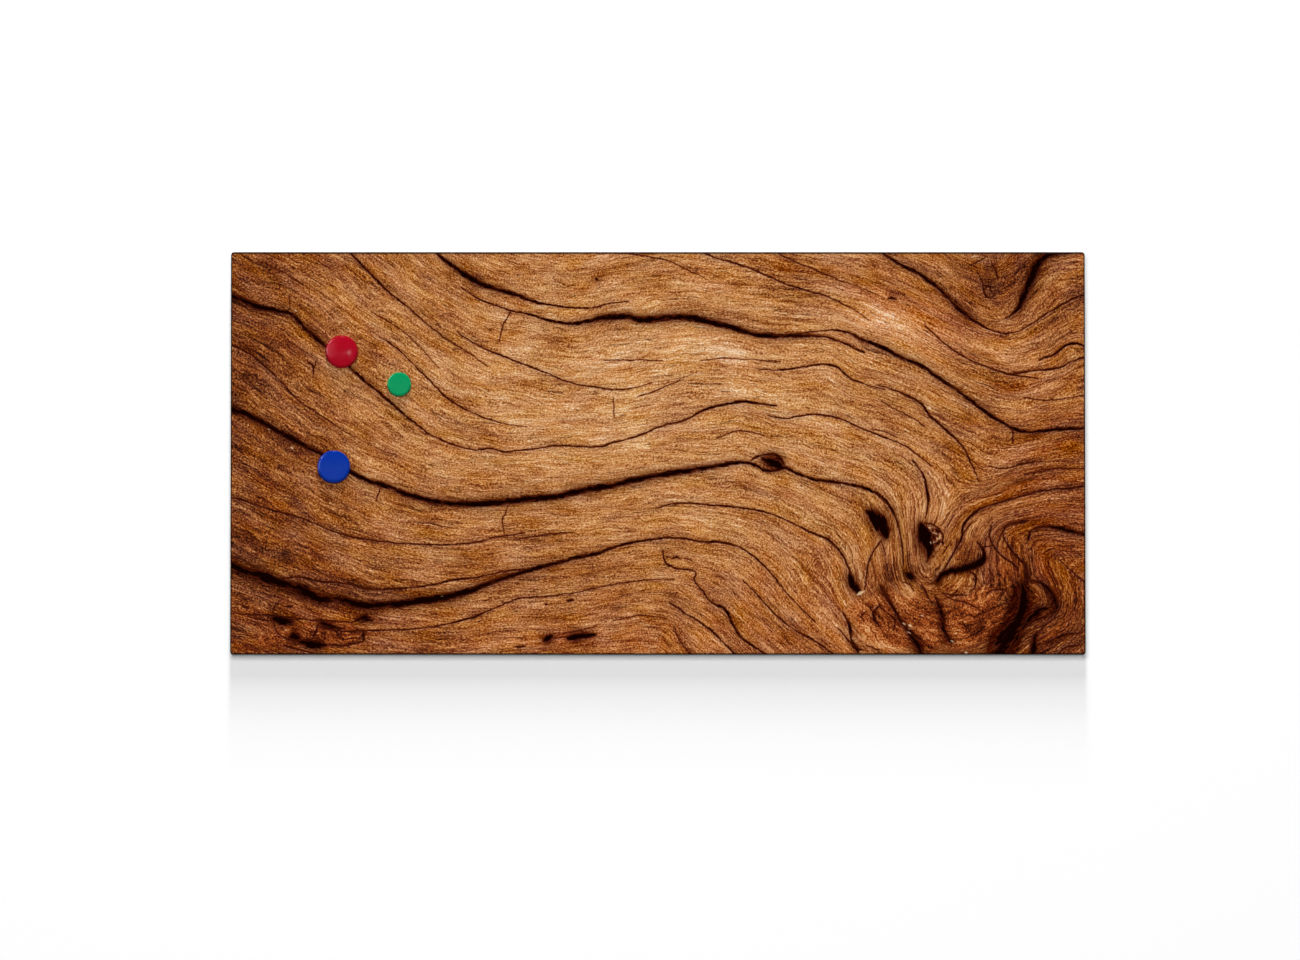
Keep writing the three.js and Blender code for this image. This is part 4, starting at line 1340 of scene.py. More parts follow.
# painted shade: a dark line round the picture stands for the fold turning away from the light, and a
# wider one along the top darkens the upper fold against the ceiling panels' light
fold = add_node(tree, "Attribute", attribute_name="fold")
fold_parts = add_node(tree, "SeparateXYZ", {0: fold.outputs["Vector"]})
fold_shade = add_node(
    tree, "MapRange",
    {0: fold_parts, "From Min": FOLD_SHADE_START_MM, "From Max": FOLD_SHADE_END_MM},
)
height_mm = add_node(tree, "SeparateXYZ", {0: object_place(tree, 1)}).outputs["Z"]
top_fold_shade = add_node(
    tree, "MapRange",
    {0: height_mm, "From Min": TOP_FOLD_SHADE_START_MM, "From Max": TOP_FOLD_SHADE_END_MM,
     "To Max": TOP_FOLD_SHADE_STRENGTH},
)
fold_shade_mask = add_node(tree, "Math", {0: fold_shade, 1: top_fold_shade}, operation="MAXIMUM")
fold_shaded = add_node(
    tree, "Mix", {0: fold_shade_mask, 6: splintered.outputs[2], 7: linear(FOLD_SHADE_COLOR)}, data_type="RGBA"
)
pebble = object_noise(tree, PEBBLE_MM, detail=2)
satin = add_node(
    tree, "MapRange", {0: pebble, "To Min": SATIN_ROUGHNESS[0], "To Max": SATIN_ROUGHNESS[1]}
)
bump = add_node(
    tree, "Bump",
    {"Height": pebble, "Strength": PEBBLE_STRENGTH, "Distance": PEBBLE_HEIGHT_MM * MM},
)
set_sockets(surface, {"Base Color": fold_shaded.outputs[2], "Roughness": satin, "Normal": bump})
settle(film, "board", "printed_film", "printed_film")

# %% [markdown]
# ## Turned pieces
#
# The magnet caps, the rivets and the rubber pads are all round. Half of the section is drawn point
# by point and spun once round the axis that points out of the wall. The start and the end of the
# section lie on the axis, where the spun points are merged. The shell is then closed, and its
# normals can be made to point outwards.

# %% A turned piece from its half section
TURN_STEPS = 72
MERGE_MM = 0.005
SHARP_DEGREES = 35


def drawn_line(places):
    """A new piece, left in edit mode: a line through places in millimetres, all selected."""
    bpy.ops.object.select_all(action="DESELECT")
    bpy.ops.mesh.primitive_plane_add(size=1)
    piece = bpy.context.object
    bpy.ops.object.mode_set(mode="EDIT")
    bpy.ops.mesh.select_mode(type="VERT")
    bpy.ops.mesh.select_all(action="SELECT")
    bpy.ops.mesh.merge(type="CENTER")
    bpy.ops.transform.translate(value=[v * MM for v in places[0]])
    for place, next_place in zip(places, places[1:]):
        step = [(b - a) * MM for a, b in zip(place, next_place)]
        bpy.ops.mesh.extrude_vertices_move(TRANSFORM_OT_translate={"value": step})
    bpy.ops.mesh.select_all(action="SELECT")
    return piece


def turned(name, section):
    """A closed turned piece round the depth axis, from (radius, depth) points in millimetres."""
    piece = drawn_line([(radius, y, 0) for radius, y in section])
    piece.name = name
    bpy.ops.mesh.spin(
        steps=TURN_STEPS, angle=2 * math.pi, center=(0, 0, 0), axis=(0, 1, 0)
    )
    bpy.ops.mesh.select_all(action="SELECT")
    bpy.ops.mesh.remove_doubles(threshold=MERGE_MM * MM)
    bpy.ops.mesh.normals_make_consistent(inside=False)
    bpy.ops.object.mode_set(mode="OBJECT")
    bpy.ops.object.shade_smooth_by_angle(angle=math.radians(SHARP_DEGREES))
    return piece


def arc(radius, y, size, start, end, steps):
    """Points on an arc of a section: 0 degrees points away from the axis, 90 to the wall."""
    turns = [math.radians(start + (end - start) * i / steps) for i in range(steps + 1)]
    return [(radius + size * math.cos(t), y + size * math.sin(t)) for t in turns]


def move(piece, x, y, z):
    """Moves a piece and leaves its place in its mesh, in millimetres."""
    pick(piece)
    bpy.ops.transform.translate(value=(x * MM, y * MM, z * MM))
    bpy.ops.object.transform_apply(location=True, rotation=True, scale=True)


def copy_of(piece, name):
    """A copy with its own mesh."""
    pick(piece)
    bpy.ops.object.duplicate(linked=False)
    bpy.context.object.name = name
    return bpy.context.object


# %% [markdown]
# ## Magnet caps
#
# Each cap is an injection-moulded plastic cup with a ferrite disc pressed into it. The red one is
# softly domed, the blue and the green ones are nearly flat with a rounded rim. Turning them once
# from a section gives a true soft edge, a foot with a small round, and the pocket for the disc.

# %% Caps: (x, z, diameter, height, edge radius, crown), in millimetres
CAPS = {
    "red_magnet": (-288.99, 92.87, 30, 8, 3, 1.1),
    "green_magnet": (-236.34, 62.7, 22, 7, 2.0, 0.2),
    "blue_magnet": (-296.0, -13.3, 30, 8, 2.6, 0.3),
}
CAP_WALL_MM = 1.5
CAP_FOOT_ROUND_MM = 0.3
FERRITE_MM = 4
FERRITE_GAP_MM = 0.3
POCKET_ROUND_MM = 0.4
CROWN_STEPS = 8
EDGE_STEPS = 8
FOOT_STEPS = 3


def cap_section(diameter, height, edge, crown):
    """Half of a cap's section, with the foot at depth 0 and the top towards the viewer."""
    half = diameter / 2
    flat = half - edge
    crown_radius = (flat**2 + crown**2) / (2 * crown)
    reach = math.asin(flat / crown_radius)
    turns = [reach * i / CROWN_STEPS for i in range(CROWN_STEPS)]
    pocket = half - CAP_WALL_MM
    roof = -FERRITE_MM - FERRITE_GAP_MM
    return [
        *[(crown_radius * math.sin(t), -height + crown_radius * (1 - math.cos(t))) for t in turns],
        *arc(flat, -height + crown + edge, edge, -90 + math.degrees(reach) / 2, 0, EDGE_STEPS),
        *arc(half - CAP_FOOT_ROUND_MM, -CAP_FOOT_ROUND_MM, CAP_FOOT_ROUND_MM, 0, 90, FOOT_STEPS),
        (pocket + CAP_FOOT_ROUND_MM, 0),
        (pocket, -CAP_FOOT_ROUND_MM),
        (pocket, roof + POCKET_ROUND_MM),
        (pocket - POCKET_ROUND_MM, roof),
        (0, roof),
    ]


caps = {}
for name, (x, z, diameter, height, edge, crown) in CAPS.items():
    caps[name] = turned(f"{name}_dome", cap_section(diameter, height, edge, crown))
    move(caps[name], x, FACE_Y_MM, z)
    settle(caps[name], name, name.replace("magnet", "plastic"), f"{name}_cap")

# %% [markdown]
# The caps are moulded in dyed polystyrene, which is glossy. Moulding leaves the surface a little
# uneven, and handling leaves fine scuffs, so the roughness and a weak bump come from noise. The
# colour of the resin is even, with a faint drift from the flow in the mould. The specular level is
# low, like that of the film, because the white room would veil the colours from the front.

# %% Dyed polystyrene
SCUFF_MM = 2.5
FLOW_MM = 14
CAP_COLORS = {
    "red_magnet": (0xAB041F, 0xA1031A),
    "green_magnet": (0x00985D, 0x009156),
    "blue_magnet": (0x00329E, 0x002D96),
}


def roughen(surface, noise, roughness, strength, height_mm):
    """Roughness between two values and a bump, both from one noise."""
    tree = surface.id_data
    gloss = add_node(tree, "MapRange", {0: noise, "To Min": roughness[0], "To Max": roughness[1]})
    bump = add_node(tree, "Bump", {"Height": noise, "Strength": strength, "Distance": height_mm * MM})
    set_sockets(surface, {"Roughness": gloss, "Normal": bump})


def mottle(surface, noise, colors):
    """Drifts from one colour to another with a noise."""
    first, second = [linear(color) for color in colors]
    drift = add_node(surface.id_data, "Mix", {0: noise, 6: first, 7: second}, data_type="RGBA")
    set_sockets(surface, {"Base Color": drift.outputs[2]})


for name, colors in CAP_COLORS.items():
    material, tree, surface = new_material(
        f"moulded_polystyrene_{name.split('_')[0]}", {"IOR": 1.59, "Specular IOR Level": 0.03}
    )
    mottle(surface, object_noise(tree, FLOW_MM, detail=1), colors)
    scuffs = object_noise(tree, SCUFF_MM, detail=3)
    roughen(surface, scuffs, roughness=(0.06, 0.2), strength=0.1, height_mm=0.01)
    caps[name].data.materials.append(material)
print("caps:", ", ".join(caps))

# %% [markdown]
# ## Wall pads
#
# Four rubber bumpers keep the board off the wall. Each is a low cone with a rounded top edge and
# a shallow dish, as stick-on bumpers have. One is turned and copied to the other three corners.

# %% Rubber pads
PANEL_REAR_Y_MM = -6.7
PAD_X_MM = 367
PAD_Z_MM = 162
PAD_BASE_RADIUS_MM = 8
PAD_TOP_RADIUS_MM = 6
PAD_EDGE_MM = 1.5
PAD_FOOT_MM = 0.3
PAD_SIDE_DEGREES = 17
PAD_EDGE_STEPS = 6
PAD_DISH_MM = 0.3
PAD_RING_MM = 0.8
PAD_SLOPE_MM = 0.6
pad_flat = PAD_TOP_RADIUS_MM - PAD_EDGE_MM
pad_section = [
    (0, PANEL_REAR_Y_MM),
    (PAD_BASE_RADIUS_MM - PAD_FOOT_MM, PANEL_REAR_Y_MM),
    (PAD_BASE_RADIUS_MM, PANEL_REAR_Y_MM + PAD_FOOT_MM),
    *arc(pad_flat, -PAD_EDGE_MM, PAD_EDGE_MM, PAD_SIDE_DEGREES, 90, PAD_EDGE_STEPS),
    (pad_flat - PAD_RING_MM, 0),
    (pad_flat - PAD_RING_MM - PAD_SLOPE_MM, -PAD_DISH_MM),
    (0, -PAD_DISH_MM),
]
first_pad = turned("wall_pad", pad_section)
material, tree, surface = new_material(
    "moulded_nitrile_rubber", {"IOR": 1.52, "Specular IOR Level": 0.35}
)
mottle(surface, object_noise(tree, size_mm=4, detail=3), (0x1C1C1D, 0x2C2C2D))
rubber_grain = object_noise(tree, size_mm=0.7, detail=2)
roughen(surface, rubber_grain, roughness=(0.6, 0.85), strength=0.3, height_mm=0.08)
first_pad.data.materials.append(material)
for height, z in (("upper", PAD_Z_MM), ("lower", -PAD_Z_MM)):
    for side, x in (("left", -PAD_X_MM), ("right", PAD_X_MM)):
        pad = copy_of(first_pad, f"rubber_pad_{height}_{side}")
        move(pad, x, 0, z)
        settle(pad, "board", "pad_rubber", f"wall_pad_{height}_{side}")
bpy.data.objects.remove(first_pad)

# %% [markdown]
# ## Rivets
#
# Blind rivets are set from the back. The domed head with the dimple of the pulled pin shows on the
# hanger's flange, and the shank's upset tail grips inside the core.

# %% Blind rivets
HANGER_X_MM = 300
HANGER_Z_MM = 140
RIVET_REACH_MM = 21
PANEL_FRONT_Y_MM = -9.7
FLANGE_REAR_Y_MM = -5.7
SHANK_MM = 1.6
RIVET_HEAD_MM = 3.2
RIVET_HEIGHT_MM = 1.2
RIVET_DIMPLE_MM = 0.9
RIVET_DIMPLE_DEPTH_MM = 0.5
TAIL_MM = 2.5
TAIL_LENGTH_MM = 2.2
TAIL_STEPS = 6
HEAD_SHARES = [1, 0.95, 0.88, 0.78, 0.65, 0.5, 0.38]
HEAD_FULLNESS = 1.05
DIMPLE_RIM = 0.9
DIMPLE_SLOPE_MM = 0.1
tail_round = TAIL_LENGTH_MM / 2
dimple_y = FLANGE_REAR_Y_MM + RIVET_HEIGHT_MM - RIVET_DIMPLE_DEPTH_MM
rivet_section = [
    (0, PANEL_FRONT_Y_MM - TAIL_LENGTH_MM),
    *arc(TAIL_MM - tail_round, PANEL_FRONT_Y_MM - tail_round, tail_round, -90, 0, TAIL_STEPS),
    (TAIL_MM, PANEL_FRONT_Y_MM),
    (SHANK_MM, PANEL_FRONT_Y_MM),
    (SHANK_MM, FLANGE_REAR_Y_MM),
    (RIVET_HEAD_MM, FLANGE_REAR_Y_MM),
    *[
        (RIVET_HEAD_MM * share, FLANGE_REAR_Y_MM + RIVET_HEIGHT_MM * (HEAD_FULLNESS - share**2))
        for share in HEAD_SHARES
    ],
    (RIVET_DIMPLE_MM, FLANGE_REAR_Y_MM + RIVET_HEIGHT_MM * DIMPLE_RIM),
    (RIVET_DIMPLE_MM - DIMPLE_SLOPE_MM, dimple_y),
    (0, dimple_y),
]
first_rivet = turned("rivet", rivet_section)
material, tree, surface = new_material("drawn_aluminium", {"Metallic": 1})
mottle(surface, object_noise(tree, size_mm=1.5, detail=2), (0xB9BBBE, 0xCFD1D3))
die_marks = object_noise(tree, size_mm=0.6, detail=2)
roughen(surface, die_marks, roughness=(0.25, 0.5), strength=0.2, height_mm=0.03)
first_rivet.data.materials.append(material)
for side, x in (("left", -HANGER_X_MM), ("right", HANGER_X_MM)):
    for place, outwards in (("outer", 1), ("inner", -1)):
        rivet = copy_of(first_rivet, f"blind_rivet_{side}_{place}")
        move(rivet, x + math.copysign(RIVET_REACH_MM, x) * outwards, 0, HANGER_Z_MM)
        settle(rivet, "board", "rivet_aluminium", f"rivet_{side}_{place}")
bpy.data.objects.remove(first_rivet)

# %% [markdown]
# ## Hangers
#
# A keyhole hanger is pressed from zinc-plated sheet: two flanges and a raised bridge. The edge of
# the sheet is drawn as a line, extruded to the hanger's height, and rounded at its bends. The
# corners of the flanges are rounded too, and Solidify gives the sheet its thickness.

# %% Hangers: the bent sheet
HANGER_HEIGHT_MM = 30
HANGER_SHEET_MM = 1
HANGER_HALF_MM = 28
BRIDGE_HALF_MM = 14
BRIDGE_REAR_Y_MM = -0.8
HANGER_BEND_MM = 1.1
HANGER_CORNER_MM = 4
BEND_STEPS = 6
END_MARGIN_MM = 1
flange_y = PANEL_REAR_Y_MM + HANGER_SHEET_MM / 2
bridge_y = BRIDGE_REAR_Y_MM - HANGER_SHEET_MM / 2
web_x = BRIDGE_HALF_MM - HANGER_SHEET_MM / 2
sheet_line = [
    (-HANGER_HALF_MM, flange_y),
    (-web_x, flange_y),
    (-web_x, bridge_y),
    (web_x, bridge_y),
    (web_x, flange_y),
    (HANGER_HALF_MM, flange_y),
]


def select_where(piece, kind, wanted):
    """Selects the points or edges whose ends, in millimetres, pass a test."""
    bpy.ops.mesh.select_mode(type=kind)
    bpy.ops.mesh.select_all(action="DESELECT")
    bpy.ops.object.mode_set(mode="OBJECT")
    mesh = piece.data
    for part in mesh.vertices if kind == "VERT" else mesh.edges:
        ends = [part.index] if kind == "VERT" else list(part.vertices)
        places = [mesh.vertices[i].co / MM for i in ends]
        part.select = bool(wanted(*places))
    bpy.ops.object.mode_set(mode="EDIT")


def sheet_hanger():
    """The bent sheet round its own middle, with rounded corners and real thickness."""
    piece = drawn_line([(x, y, -HANGER_HEIGHT_MM / 2) for x, y in sheet_line])
    bpy.ops.mesh.extrude_edges_move(
        TRANSFORM_OT_translate={"value": (0, 0, HANGER_HEIGHT_MM * MM)}
    )
    inner_half = HANGER_HALF_MM - END_MARGIN_MM
    select_where(piece, "EDGE", lambda a, b: a[2] != b[2] and abs(a[0]) < inner_half)
    bpy.ops.mesh.bevel(offset=HANGER_BEND_MM * MM, segments=BEND_STEPS, affect="EDGES")
    select_where(piece, "VERT", lambda a: abs(a[0]) > inner_half)
    bpy.ops.mesh.bevel(offset=HANGER_CORNER_MM * MM, segments=BEND_STEPS, affect="VERTICES")
    bpy.ops.mesh.select_all(action="SELECT")
    bpy.ops.mesh.normals_make_consistent(inside=False)
    bpy.ops.object.mode_set(mode="OBJECT")
    wall = piece.modifiers.new("sheet", "SOLIDIFY")
    wall.thickness = HANGER_SHEET_MM * MM
    wall.offset = 0
    wall.use_even_offset = True
    bpy.ops.object.modifier_apply(modifier="sheet")
    return piece


first_hanger = sheet_hanger()
print("bent sheet:", len(first_hanger.data.polygons), "faces")

# %% [markdown]
# The keyhole is a round entry with a slot above it, in which the head of a screw is caught. It is
# punched by a boolean with a solid of the same outline, and a small bevel softens the cut edges.

# %% Hangers: the keyhole
ENTRY_MM = 5
SLOT_MM = 2.5
ENTRY_DROP_MM = 5
SLOT_TRAVEL_MM = 11
ENTRY_STEPS = 24
SLOT_STEPS = 14
PUNCH_REACH_MM = 2
EDGE_BEVEL_MM = 0.15
CUT_EDGE_DEGREES = 50


def keyhole_tool():
    """A solid punch with the outline of the keyhole."""
    meet = math.degrees(math.acos(SLOT_MM / ENTRY_MM))
    entry = arc(0, -ENTRY_DROP_MM, ENTRY_MM, 180 - meet, 360 + meet, ENTRY_STEPS)
    slot = arc(0, SLOT_TRAVEL_MM - ENTRY_DROP_MM, SLOT_MM, 0, 180, SLOT_STEPS)
    outline = entry + slot
    bpy.ops.object.select_all(action="DESELECT")
    bpy.ops.mesh.primitive_circle_add(
        vertices=len(outline), fill_type="NGON", rotation=(math.pi / 2, 0, 0)
    )
    tool = bpy.context.object
    bpy.ops.object.transform_apply(location=True, rotation=True, scale=True)
    for vertex, (x, z) in zip(tool.data.vertices, outline):
        vertex.co = (x * MM, (bridge_y - PUNCH_REACH_MM) * MM, z * MM)
    bpy.ops.object.mode_set(mode="EDIT")
    bpy.ops.mesh.select_all(action="SELECT")
    through = (0, 2 * PUNCH_REACH_MM * MM, 0)
    bpy.ops.mesh.extrude_region_move(TRANSFORM_OT_translate={"value": through})
    bpy.ops.mesh.select_all(action="SELECT")
    bpy.ops.mesh.normals_make_consistent(inside=False)
    bpy.ops.object.mode_set(mode="OBJECT")
    return tool


punch = keyhole_tool()
pick(first_hanger)
hole = first_hanger.modifiers.new("keyhole", "BOOLEAN")
hole.object = punch
hole.operation = "DIFFERENCE"
hole.solver = "EXACT"
bpy.ops.object.modifier_apply(modifier="keyhole")
soft = first_hanger.modifiers.new("soft edge", "BEVEL")
soft.width = EDGE_BEVEL_MM * MM
soft.segments = 2
soft.limit_method = "ANGLE"
soft.angle_limit = math.radians(CUT_EDGE_DEGREES)
bpy.ops.object.modifier_apply(modifier="soft edge")
bpy.ops.object.shade_smooth_by_angle(angle=math.radians(SHARP_DEGREES))
bpy.data.objects.remove(punch)
print("punched hanger:", len(first_hanger.data.polygons), "faces")

# %% [markdown]
# The zinc is plated on in a bath, so it is a thin, even, bluish coat without crystals. It shows
# the fine grain of the rolled sheet and some slow drift of its grey.

# %% Zinc-plated steel
material, tree, surface = new_material("zinc_plated_sheet", {"Metallic": 1})
mottle(surface, object_noise(tree, size_mm=12, detail=3), (0x9DA2A6, 0xC2C6C8))
rolled_grain = object_noise(tree, size_mm=1.2, detail=3)
roughen(surface, rolled_grain, roughness=(0.28, 0.5), strength=0.15, height_mm=0.04)
first_hanger.data.materials.append(material)
for side, x in (("left", -HANGER_X_MM), ("right", HANGER_X_MM)):
    hanger = copy_of(first_hanger, f"keyhole_hanger_{side}")
    move(hanger, x, 0, HANGER_Z_MM)
    settle(hanger, "board", "zinc_plated_steel", f"hanger_{side}")
bpy.data.objects.remove(first_hanger)

# %% [markdown]
# ## Finishes of the pieces that stay
#
# The tray, the core, the back panel and the ferrite discs have the right shape already, so they only
# get a finish. The tray is hot-dip galvanised sheet: the zinc freezes in small flat crystals some 5 to
# 10 mm wide, each with its own sheen. Voronoi cells that melt into each other are those crystals, and
# each gets its own grey and roughness. The zinc is a mid grey.

# %% Galvanised steel
SPANGLE_MM = 7
SPANGLE_MELT = 0.35
SPANGLE_GREYS = [(0.0, 0x74777A), (0.45, 0x7B7E80), (0.7, 0x7F8284), (1.0, 0x87898B)]
SPANGLE_ROUGHNESS = (0.42, 0.5)
ZINC_GRAIN_MM = 3
ZINC_HEIGHT_MM = 0.05


def dress(node, material):
    """Gives a CAD node a material."""
    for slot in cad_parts[node].material_slots:
        slot.material = material
    print(f"{node}: {material.name}")


material, tree, surface = new_material("hot_dip_galvanised_sheet", {"Metallic": 1})
crystals = add_node(
    tree, "TexVoronoi",
    {"Vector": object_place(tree, SPANGLE_MM), "Scale": 1, "Smoothness": SPANGLE_MELT},
    feature="SMOOTH_F1",
)
crystal_values = add_node(tree, "SeparateColor", {0: crystals.outputs["Color"]})
greys = add_node(tree, "ValToRGB", {0: crystal_values.outputs["Red"]})
set_stops(greys, SPANGLE_GREYS)
gloss = add_node(
    tree, "MapRange",
    {0: crystal_values.outputs["Green"],
     "To Min": SPANGLE_ROUGHNESS[0], "To Max": SPANGLE_ROUGHNESS[1]},
)
zinc_grain = object_noise(tree, ZINC_GRAIN_MM, detail=3)
bump = add_node(
    tree, "Bump", {"Height": zinc_grain, "Strength": 0.12, "Distance": ZINC_HEIGHT_MM * MM}
)
set_sockets(surface, {"Base Color": greys, "Roughness": gloss, "Normal": bump})
dress("steel_tray", material)

# %% [markdown]
# The back panel is tempered hardboard, pressed wood fibre: brown, with fine darker and paler
# flecks of fibre, paler brown clouds, and a smooth face with a faint felt-like texture.

# %% Hardboard
FLECK_MM = 2.2
CLOUD_MM = 60
CLOUD_START = 0.3
CLOUD_END = 0.7
CLOUD_STRENGTH = 0.35
CLOUD_COLOR = 0xA08468
HARDBOARD_TONES = [(0.3, 0x5A3D26), (0.48, 0x73522F), (0.6, 0x83603A), (0.72, 0x9A7850)]
material, tree, surface = new_material(
    "pressed_hardboard", {"IOR": 1.5, "Specular IOR Level": 0.3}
)
fleck_tones = add_node(tree, "ValToRGB", {0: object_noise(tree, FLECK_MM, detail=5)})
set_stops(fleck_tones, HARDBOARD_TONES)
clouds = add_node(
    tree, "MapRange",
    {0: object_noise(tree, CLOUD_MM, detail=3),
     "From Min": CLOUD_START, "From Max": CLOUD_END, "To Max": CLOUD_STRENGTH},
)
clouded = add_node(
    tree, "Mix",
    {0: clouds, 6: fleck_tones, 7: linear(CLOUD_COLOR)},
    data_type="RGBA", blend_type="MULTIPLY",
)
set_sockets(surface, {"Base Color": clouded.outputs[2]})
felt = object_noise(tree, size_mm=0.9, detail=3)
roughen(surface, felt, roughness=(0.45, 0.72), strength=0.25, height_mm=0.06)
dress("back_panel", material)

# %% [markdown]
# The core is paper honeycomb between the face and the panel. Little of it shows, only a dark line
# at the mitred corners, but it still gets its kraft paper with the six-sided cells.

# %% Kraft paper honeycomb
CELL_MM = 12
CELL_UNEVENNESS = 0.15
KRAFT_TONES = [(0.03, 0xB08C5C), (0.12, 0x86663F)]
material, tree, surface = new_material("kraft_paper_honeycomb", {"IOR": 1.45})
cells = add_node(
    tree, "TexVoronoi",
    {"Vector": object_place(tree, CELL_MM, flat=True), "Scale": 1, "Randomness": CELL_UNEVENNESS},
    feature="DISTANCE_TO_EDGE",
)
kraft = add_node(tree, "ValToRGB", {0: cells.outputs["Distance"]})
set_stops(kraft, KRAFT_TONES)
set_sockets(surface, {"Base Color": kraft})
paper_fibres = object_noise(tree, size_mm=1, detail=3)
roughen(surface, paper_fibres, roughness=(0.75, 0.95), strength=0.3, height_mm=0.08)
dress("filler_core", material)

# %% [markdown]
# The discs are sintered barium ferrite, a dark grey ceramic with a dry, finely pitted surface.

# %% Sintered ferrite
material, tree, surface = new_material("sintered_ferrite", {"IOR": 2.2, "Specular IOR Level": 0.4})
mottle(surface, object_noise(tree, size_mm=2, detail=3), (0x2B2B2D, 0x3E3E41))
pits = object_noise(tree, size_mm=0.5, detail=3)
roughen(surface, pits, roughness=(0.5, 0.8), strength=0.3, height_mm=0.05)
for name in CAPS:
    dress(f"{name}_ferrite", material)

# %% [markdown]
# ## Stage and light
#
# The board hangs on a white wall, a plane just behind the rubber pads. The camera sees the wall as
# white, and its diffuse part takes the shadow that the ceiling light throws below the board. From
# behind, the wall and the floor are see-through, so that the back of the board can be looked at.

# %% Wall and floor
WALL_Y = 0.0004
WALL_SIZE = 8
FLOOR_Z = -1.3
FLOOR_DEPTH = 3
STAGE_GLOW = 0.24
STAGE_WHITE = (0.8, 0.8, 0.8, 1)
PURE_WHITE = (1, 1, 1, 1)


def stage_plane(name, location, rotation, size_x, size_y):
    """A plain plane of the stage."""
    bpy.ops.object.select_all(action="DESELECT")
    bpy.ops.mesh.primitive_plane_add(size=1, location=location, rotation=rotation)
    plane = bpy.context.object
    plane.name = name
    plane.scale = (size_x, size_y, 1)
    pick(plane)
    bpy.ops.object.transform_apply(location=True, rotation=True, scale=True)
    plane.visible_shadow = False
    plane.visible_diffuse = False
    return plane


def seen_rays(tree):
    """Is 1 for rays from the camera and for glossy and transmitted ones, and 0 for the others."""
    path = add_node(tree, "LightPath")
    seen = path.outputs["Is Camera Ray"]
    for other in ("Is Glossy Ray", "Is Transmission Ray"):
        seen = add_node(tree, "Math", {0: seen, 1: path.outputs[other]}, operation="MAXIMUM")
    return seen


def stage_material(name):
    """White paint: a diffuse colour that takes shadows, and a glow that is seen but lights nothing."""
    material, tree, surface = new_material(
        name, {"Base Color": STAGE_WHITE, "Roughness": 0.9, "Specular IOR Level": 0}
    )
    strength = add_node(tree, "Math", {0: seen_rays(tree), 1: STAGE_GLOW}, operation="MULTIPLY")
    set_sockets(surface, {"Emission Color": PURE_WHITE, "Emission Strength": strength})
    geometry = add_node(tree, "NewGeometry")
    clear = add_node(tree, "BsdfTransparent")
    mixed = add_node(tree, "MixShader", {0: geometry.outputs["Backfacing"], 1: surface, 2: clear})
    set_sockets(tree.nodes["Material Output"], {"Surface": mixed})
    return material


wall = stage_plane("wall", (0, WALL_Y, 0), (math.pi / 2, 0, 0), WALL_SIZE, WALL_SIZE)
wall.data.materials.append(stage_material("white_painted_wall"))
floor = stage_plane("floor", (0, -FLOOR_DEPTH / 2, FLOOR_Z), (0, 0, 0), WALL_SIZE, FLOOR_DEPTH)
floor.data.materials.append(stage_material("pale_floor"))
print("wall normal", [round(v) for v in wall.data.polygons[0].normal])

# %% [markdown]
# The light is that of a plain studio. Two long panels, high above and in front of the board, throw
# the soft shadow down the wall, and one soft box lights the face from the front. The box isn't
# seen in gloss, because it would lie as a pale patch on the print. With the world around, which
# comes last, the lamps light a surface that faces the camera so that its colour renders about as
# it is written.

# %% Lamps above and in front
BOARD_MIDDLE = (0, 0, 0)
PANEL_HEIGHT = 13.2
NEAR_PANEL_Y = -4.32
FAR_PANEL_Y = -11.4


def soft_box(name, location, aim_at, size, watts):
    """A rectangular area lamp turned towards a point."""
    bpy.ops.object.select_all(action="DESELECT")
    bpy.ops.object.light_add(type="AREA", location=location)
    lamp = bpy.context.object
    lamp.name = name
    lamp.data.shape = "RECTANGLE"
    lamp.data.size = size[0]
    lamp.data.size_y = size[1]
    lamp.data.energy = watts
    towards = [b - a for a, b in zip(location, aim_at)]
    tilt = math.atan2(towards[2], math.hypot(towards[0], towards[1]))
    lamp.rotation_euler = (math.pi / 2 + tilt, 0, math.atan2(-towards[0], towards[1]))
    return lamp


# name, depth, size across and deep in metres, and watts
for name, y, size, watts in [
    ("ceiling_panel_near", NEAR_PANEL_Y, (1.0, 4.2), 1035),
    ("ceiling_panel_far", FAR_PANEL_Y, (1.6, 9.6), 1215),
]:
    soft_box(name, (0, y, PANEL_HEIGHT), (0, y, 0), size, watts)
front = soft_box("soft_box_front", (-0.3, -6.0, 0.3), BOARD_MIDDLE, (1.4, 1.4), 170)
front.visible_glossy = False
print("front lamp", [round(v, 2) for v in front.location])

# %% [markdown]
# Other lamps only shine on the glossy caps, as the windows of a room would. A row of narrow ones
# on the left grows brighter outwards, which gives a dome a highlight that fades to one side. Light
# linking keeps them off everything else, and they add no diffuse light.

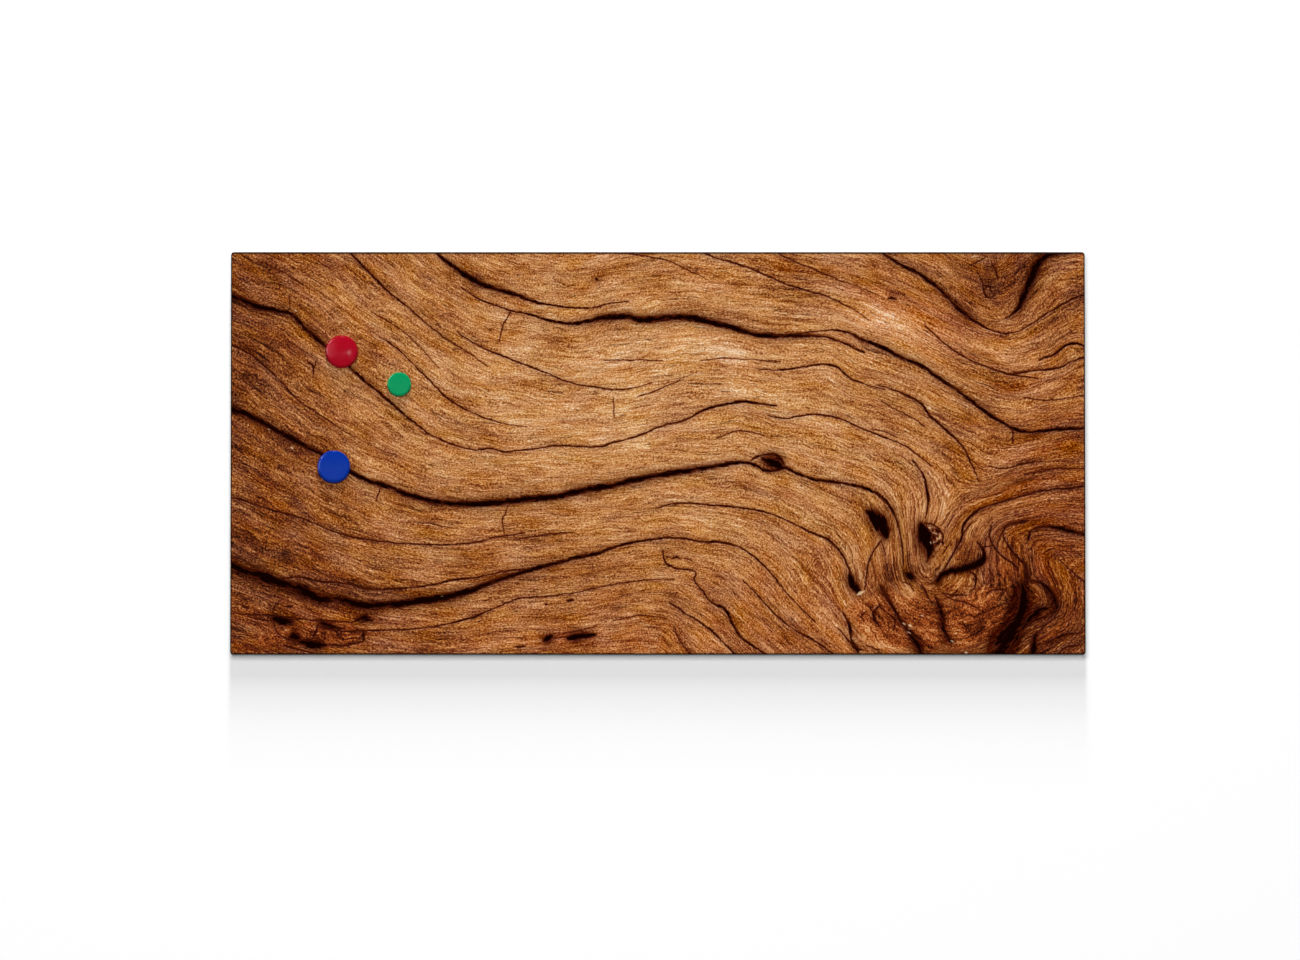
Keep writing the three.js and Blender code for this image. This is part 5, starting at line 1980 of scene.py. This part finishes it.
# %% Lamps that shine on the caps
# name, place, size across and up in metres, and watts
SIDE_SHINES = [
    ("shine_upper_left", (-4.2, -2.3, 4.0), (2.0, 2.0), 1000),
    ("shine_right", (0.9, -5.88, 0.5), (0.12, 0.8), 38),
    ("shine_far_left", (-5.93, -2.05, 1.4), (2.0, 3.2), 660),
    ("shine_far_right", (5.8, -1.55, 1.6), (1.2, 2.4), 150),
]
# degrees to the left of straight ahead, and radiance
LEFT_SHINES = [(10.5, 2), (16, 6), (21.5, 14), (27, 25), (32.5, 34), (38, 40), (43.5, 42)]
LEFT_SIZE = (0.58, 3.2)
LEFT_DISTANCE = 6
LEFT_Z = 1.4
MAGNETS_X = -0.29
shines = [
    soft_box(name, place, BOARD_MIDDLE, size, watts) for name, place, size, watts in SIDE_SHINES
]
for degrees, radiance in LEFT_SHINES:
    turn = math.radians(degrees)
    place = (MAGNETS_X - LEFT_DISTANCE * math.sin(turn), -LEFT_DISTANCE * math.cos(turn), LEFT_Z)
    watts = math.pi * LEFT_SIZE[0] * LEFT_SIZE[1] * radiance
    name = f"shine_left_{round(degrees)}"
    shines.append(soft_box(name, place, (MAGNETS_X, 0, 0), LEFT_SIZE, watts))
shone_on = bpy.data.collections.new("shone_on")
for cap in caps.values():
    shone_on.objects.link(cap)
for lamp in shines:
    lamp.visible_diffuse = False
    lamp.light_linking.receiver_collection = shone_on
print("lamps that shine on the caps:", len(shines))

# %% [markdown]
# One more soft box, behind the wall, lights the back of the board for views from there. The world
# gives the even fill of a room with pale walls. It lights weakly, but it is seen as full white,
# like the wall.

# %% Back lamp and world
WORLD_FILL = 0.16
soft_box("soft_box_back", (0.8, 3.0, 0.8), BOARD_MIDDLE, (2.0, 2.0), 70)
world = bpy.data.worlds.new("plain_studio")
bpy.context.scene.world = world
world.use_nodes = True
tree = world.node_tree
strength = add_node(
    tree, "Math",
    {0: seen_rays(tree), 1: 1 - WORLD_FILL, 2: WORLD_FILL},
    operation="MULTIPLY_ADD",
)
set_sockets(tree.nodes["Background"], {"Color": PURE_WHITE, "Strength": strength})
